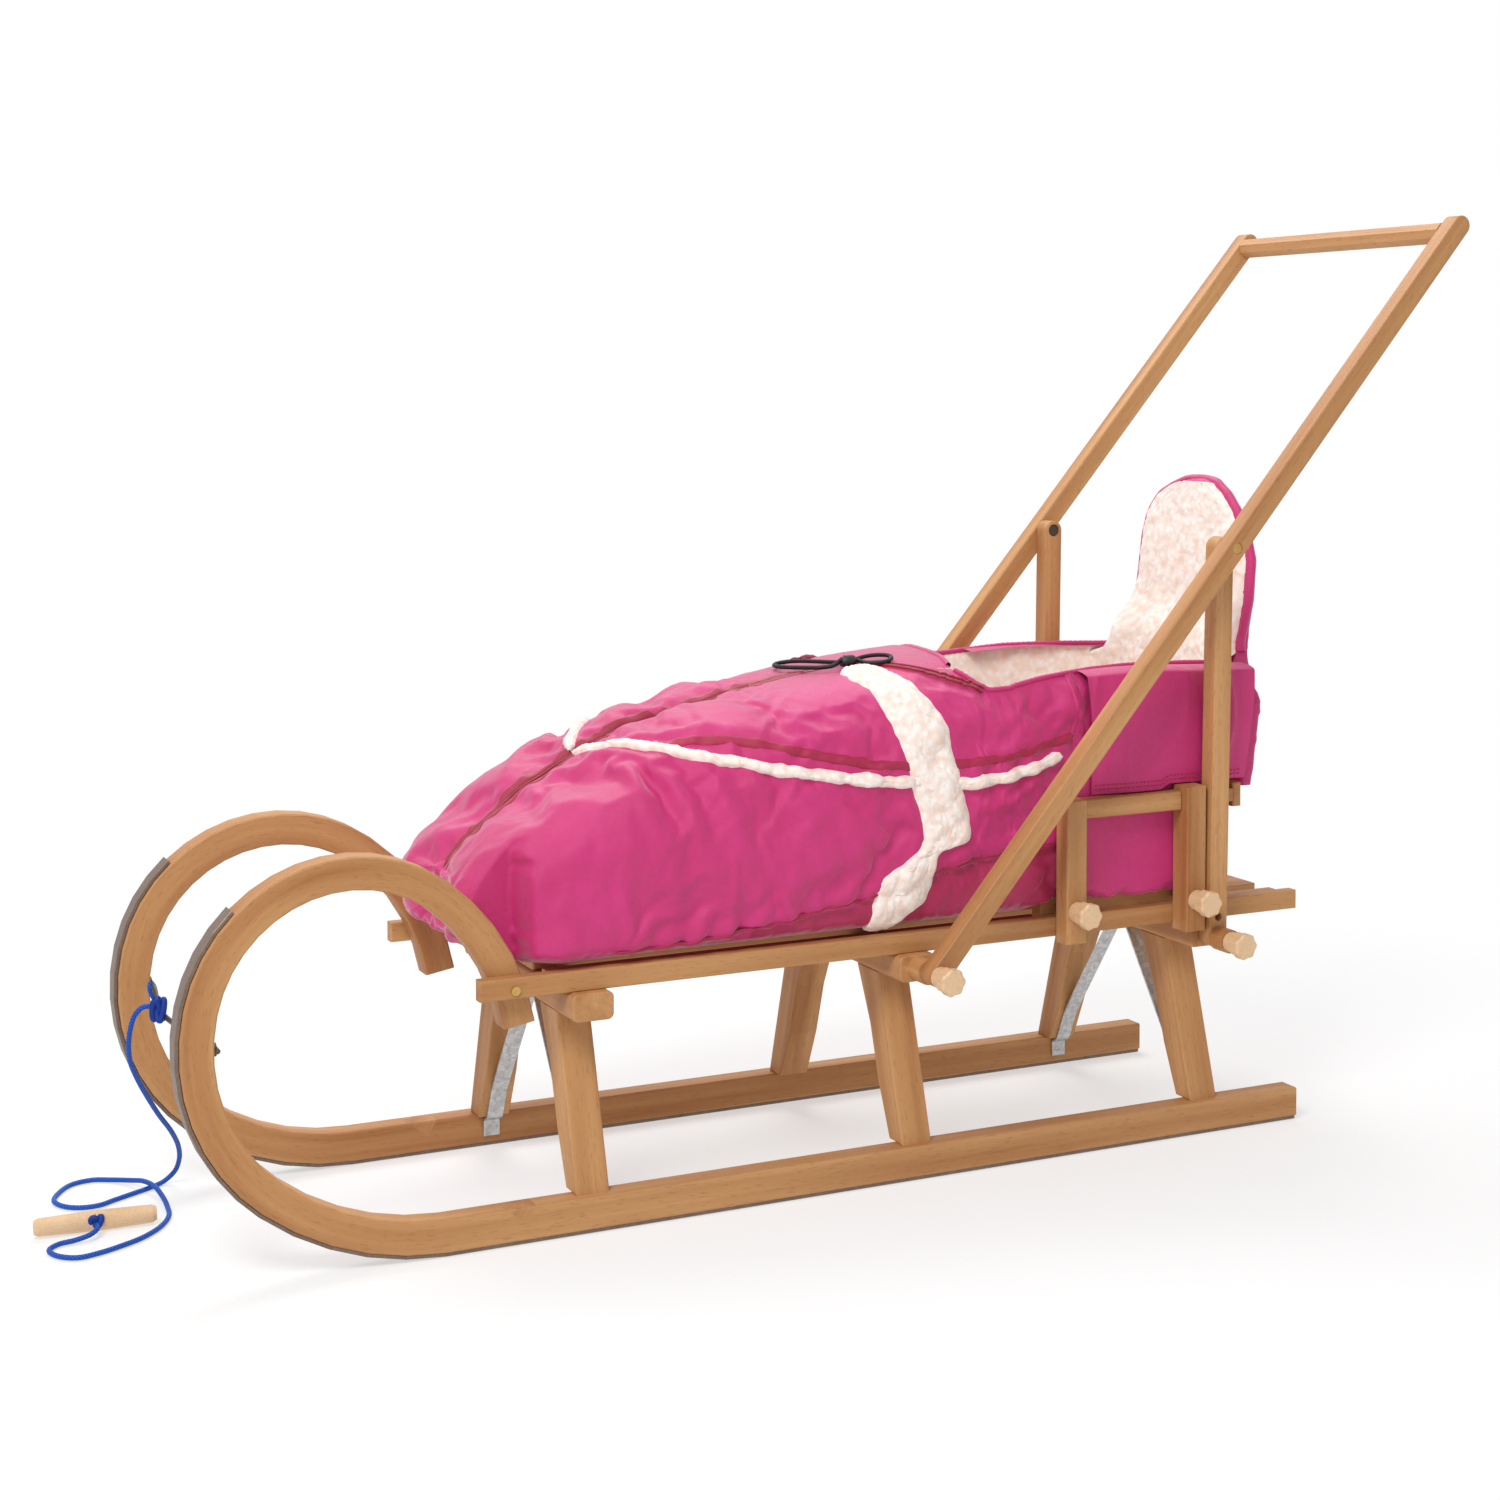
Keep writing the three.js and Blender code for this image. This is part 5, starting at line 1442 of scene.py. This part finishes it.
# %% Stitches
def dashes(name, line, finish, length=0.0034, gap=0.0016, thick=0.00045):
    """Short threads along a line of (place, normal) pairs."""
    route = np.array([tuple(place) for place, _ in line])
    run = np.concatenate([[0], np.cumsum(np.linalg.norm(np.diff(route, axis=0), axis=1))])
    vertices, faces = [], []

    def point_at(distance):
        place = Vector([np.interp(distance, run, route[:, k]) for k in range(3)])
        return place, line[min(len(line) - 1, int(np.searchsorted(run, distance)))][1]

    for first in np.arange(0, run[-1] - length, length + gap):
        a, normal = point_at(first)
        b, _ = point_at(first + length)
        along = (b - a).normalized()
        side = along.cross(normal).normalized()
        base = len(vertices)
        for share, lift in ((0, -0.3), (0.2, 1.0), (0.8, 1.0), (1, -0.3)):
            middle = a.lerp(b, share) + normal * thick * lift
            ends = [side * thick, normal * thick * 0.9, -side * thick]
            vertices += [middle + end for end in ends]
        for corner in (base, base + 3, base + 6):
            for k in (corner, corner + 1):
                faces.append((k, k + 3, k + 4, k + 1))
    return new_piece(name, vertices, faces, finish)


def on_cloth_line(points):
    line = []
    for point in smooth_route(places(points), 0.002)[0]:
        near, normal, _, _ = cloth_surface.find_nearest(point)
        line.append((near + normal * 0.0024, normal))
    return line


FLAP_HEM = [
    (109, 774, 514), (124, 773, 506), (138, 772, 482), (145, 771, 452), (149, 770, 415),
    (150, 769, 390),
]
FLAP_ROWS, HEM_ROWS = (-4.5, 0.5), (0.035, 0.065)
for side, sign in (("left", 1), ("right", -1)):
    hem = [(sign * x, y, z) for x, y, z in FLAP_HEM]
    muff_parts.append(strip_along(f"flap_hem_{side}", places(hem), 0.0075, 0.0022, nylon, 7))
    for row, shift in enumerate(FLAP_ROWS):
        line = on_cloth_line([(x, y + shift, z) for x, y, z in hem])
        muff_parts.append(dashes(f"flap_stitches_{side}_{row}", line, nylon_dark))
    for row, share_up in enumerate(HEM_ROWS):
        line = []
        for share in np.linspace(0.02, 0.98, 70):
            x, station, height = panel_point(share, share_up)
            line.append((at(sign * (x + 0.3), station, height), Vector((sign, 0, 0))))
        muff_parts.append(dashes(f"hem_stitches_{side}_{row}", line, nylon_dark))
for piece in muff_parts:
    piece.parent = shell
print("the muff is dressed with", len(muff_parts), "more pieces")

# %% [markdown]
# ## The drawcord and its stopper
# A thin black cord closes the muff's mouth. It leaves the spring stopper, lies in one loop to the
# front and one to the rear, and comes back to the stopper. The stopper is a small plastic barrel
# with a push button.

# %% Drawcord
CORD_LIFT = 2.5
draw_route = places((x, y, z + CORD_LIFT) for x, y, z in [
    (36, 539.2, 524.4), (35.5, 532, 519.5), (28, 521, 516.9), (13, 511, 515.7), (-7, 502, 514.3),
    (-26, 497, 513.4), (-41, 499, 513.4), (-49, 509, 514.4), (-43, 520, 516.2), (-27, 528, 517.8),
    (-8, 534.5, 518.9), (10, 541, 519.9), (21, 547, 520.6), (25.3, 555, 521.7), (24, 564, 523),
    (20, 574, 524.4), (21, 584, 525.9), (28, 592, 526.9), (40, 596, 527.1), (53, 592, 525.8),
    (60, 583, 523.8), (57, 572, 522.6), (49, 564, 522), (38.5, 559, 523.8),
])
DRAW_RADIUS = 0.0024
draw_path, draw_length = smooth_route(draw_route, 0.0006)
drawcord = braided_tube("muff_drawcord_braid", draw_path, draw_length, DRAW_RADIUS, black_cord)
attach(drawcord, FRAME_BODY)
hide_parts("muff_drawcord")

plastic = Finish("black_plastic")
speckle = plastic.noise(plastic.place(), 900, 3)
tint = plastic.mix(speckle, written(16, 14, 16), written(38, 34, 36))
plastic_finish = plastic.shaded(
    Base_Color=tint, Roughness=0.38 + speckle * 0.2, Normal=plastic.bump(speckle, 0.2, 0.0003)
)
# The stopper's profile along its length, its sides, and where its middle lies
BARREL = [
    (-9, 0), (-9, 4.2), (-8.4, 5.2), (-5.4, 5.2), (-5.0, 6.4), (-4.2, 7), (4.5, 7), (6.8, 6),
    (8.6, 3.6), (9, 0),
]
BARREL_SIDES = 24
BARREL_X, BARREL_STATION, BARREL_HEIGHT = 36, 549, 525.4
barrel_vertices = []
for length, radius in BARREL:
    for k in range(BARREL_SIDES):
        turn = 2 * math.pi * k / BARREL_SIDES
        rib = radius * (1 - 0.05 * (k % 3 == 0) * (abs(length) < 5))
        x, height = BARREL_X + rib * math.cos(turn), BARREL_HEIGHT + rib * math.sin(turn)
        barrel_vertices.append(at(x, BARREL_STATION + length, height))
barrel_faces = grid_faces(len(BARREL), BARREL_SIDES, True)
stopper = new_piece("stopper_barrel", barrel_vertices, barrel_faces, plastic_finish)
stopper.data.flip_normals()
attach(stopper, FRAME_BODY)
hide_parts("cord_stopper")
print("the drawcord is", round(draw_length * 1000), "mm long")

# %% [markdown]
# ## Metal parts
# Four metals meet on this sled. The runner shoes are plain rolled steel that has browned a little.
# The leg straps are galvanised, which leaves a frosty pattern of crystals. The screws are brass,
# and the bow between the horns is dark steel rod.

# %% Metals
def metal(name, light, dark, base_rough, stretch=(1, 1, 1), grain=300, strength=0.12):
    finish = Finish(name)
    axes = finish.parts(finish.place())
    field = finish.joined(*(axis * factor for axis, factor in zip(axes, stretch)))
    scratches = finish.noise(field, grain, 3, 0.6)
    stain = finish.noise(finish.place(), 35, 3)
    tint = finish.mix((scratches * 0.7 + stain * 0.5 - 0.1).clamped(), light, dark)
    normal = finish.bump(scratches, strength, 0.0004)
    rough = base_rough + scratches * 0.18
    return finish.shaded(Base_Color=tint, Metallic=0.85, Roughness=rough, Normal=normal)


steel_brown, steel_deep = written(150, 130, 116), written(98, 78, 66)
steel_shoe = metal("rolled_steel", steel_brown, steel_deep, 0.36, (14, 1, 1), 260)
dark_steel = metal("dark_steel_rod", written(120, 108, 98), written(62, 52, 46), 0.38)
brass = metal("brass", written(222, 186, 110), written(166, 122, 56), 0.28)

galvanised = Finish("galvanised_steel")
place = galvanised.place()
crystal = galvanised.cells(place, 240, "F1", "Color")
shade_r, shade_g, _ = galvanised.parts(crystal)
haze = galvanised.noise(place, 60, 3)
frost = (shade_r * 0.6 + haze * 0.5 - 0.05).clamped()
tint = galvanised.mix(frost, written(214, 214, 212), written(160, 162, 164))
rough = 0.32 + shade_g * 0.22
normal = galvanised.bump(shade_r, 0.10, 0.0003)
zinc = galvanised.shaded(Base_Color=tint, Metallic=0.8, Roughness=rough, Normal=normal)
dress(steel_shoe, "runner_shoe_")
dress(dark_steel, "pull_bow")
two_tone = Finish("brass_and_dark_steel")
x, _, _ = two_tone.parts(two_tone.place())
worn = two_tone.noise(two_tone.place(), 300, 3)
BRASS_FROM = 0.190
tint = two_tone.mix(x.size() > BRASS_FROM, written(70, 66, 64), written(204, 164, 92))
tint = two_tone.mix(worn * 0.5, tint, written(92, 74, 56))
rough = 0.3 + worn * 0.2
normal = two_tone.bump(worn, 0.15, 0.0003)
pivot_steel = two_tone.shaded(Base_Color=tint, Metallic=0.85, Roughness=rough, Normal=normal)
dress(brass, "horn_screw_")
dress(pivot_steel, "pivot_screw_")
dress(zinc, "strap_")
print("metals ready")

# %% [markdown]
# Each strap is fixed to its leg by two countersunk screws, one above the other. A screw head is a
# flat disc with a cross slot, sunk level with the steel.

# %% Strap screws
HEAD_SIDES = 20
HEAD_RINGS = ((0.0012, 0.0003), (0.0030, 0.0005), (0.0036, 0.0001))


def screw_head(name, centre, sign):
    vertices, faces = [centre + Vector((sign * 0.0003, 0, 0))], []
    for radius, lift in HEAD_RINGS:
        for k in range(HEAD_SIDES):
            turn = 2 * math.pi * k / HEAD_SIDES
            slot = -0.0006 if radius < 0.003 and k % 5 == 0 else 0
            offset = (sign * (lift + slot), radius * math.cos(turn), radius * math.sin(turn))
            vertices.append(centre + Vector(offset))
    for k in range(HEAD_SIDES):
        after = (k + 1) % HEAD_SIDES
        faces.append((0, 1 + k, 1 + after))
        for ring in (1, 1 + HEAD_SIDES):
            outer_ring = ring + HEAD_SIDES
            faces.append((ring + k, outer_ring + k, outer_ring + after, ring + after))
    head = new_piece(name, vertices, faces, zinc)
    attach(head, FRAME_BODY)


STRAP_X = 135.7
STRAP_STATIONS = {"front": 206.0, "rear": 927.6}
SCREW_HEIGHTS = {"low": 20, "high": 46}
for side, sign in (("left", -1), ("right", 1)):
    for row, station in STRAP_STATIONS.items():
        for level, height in SCREW_HEIGHTS.items():
            place = at(-sign * STRAP_X, station, height)
            screw_head(f"strap_screw_{row}_{side}_{level}", place, sign)
print("eight strap screws")

# %% [markdown]
# ## Knobs and the toggle
# The eight knobs are turned and carved from pale wood, with a steel stud that runs inboard. A knob
# is one CAD piece, so its finish changes from wood to steel at the distance from the sled's middle
# where the wood begins. The toggle at the cord's end is a plain turned dowel.

# %% Turned wood
THREAD_PITCH = 0.0015


def turned_wood(name, wood_from=None):
    finish = Finish(name)
    place = finish.place()
    x, y, z = finish.parts(place)
    rings = finish.noise(finish.joined(x * 0.2, y, z), 420, 2, 0.5)
    broad = finish.noise(place, 55, 2)
    pale, honey = written(242, 214, 176), written(214, 172, 124)
    base = finish.mix((rings * 0.7 + broad * 0.4 - 0.05).clamped(), pale, honey)
    fibres = finish.noise(finish.joined(x * 0.15, y, z), 1400, 2)
    base = finish.mix(fibres * 0.2, base, written(170, 118, 70))
    metallic, rough = 0.0, 0.46 + fibres * 0.12
    if wood_from:
        steel = x.size() < wood_from / 1000
        thread = ((x * (2 * math.pi / THREAD_PITCH)).sine() * 0.5 + 0.5) * steel
        base = finish.mix(steel, base, written(176, 174, 170))
        metallic, rough = steel * 0.85, 0.44 - steel * 0.1
        fibres = fibres + thread * 2.0
    normal = finish.bump(fibres, 0.2, 0.0004)
    return finish.shaded(Base_Color=base, Metallic=metallic, Roughness=rough, Normal=normal)


dress(turned_wood("knob_wood_arm_front", 170.2), "knob_arm_front_")
dress(turned_wood("knob_wood_arm_rear", 175.0), "knob_arm_rear_")
dress(turned_wood("knob_wood_bars", 202.5), "knob_push_bar_", "knob_strut_")
dress(turned_wood("toggle_wood"), "toggle_handle")
print("turned pieces ready")
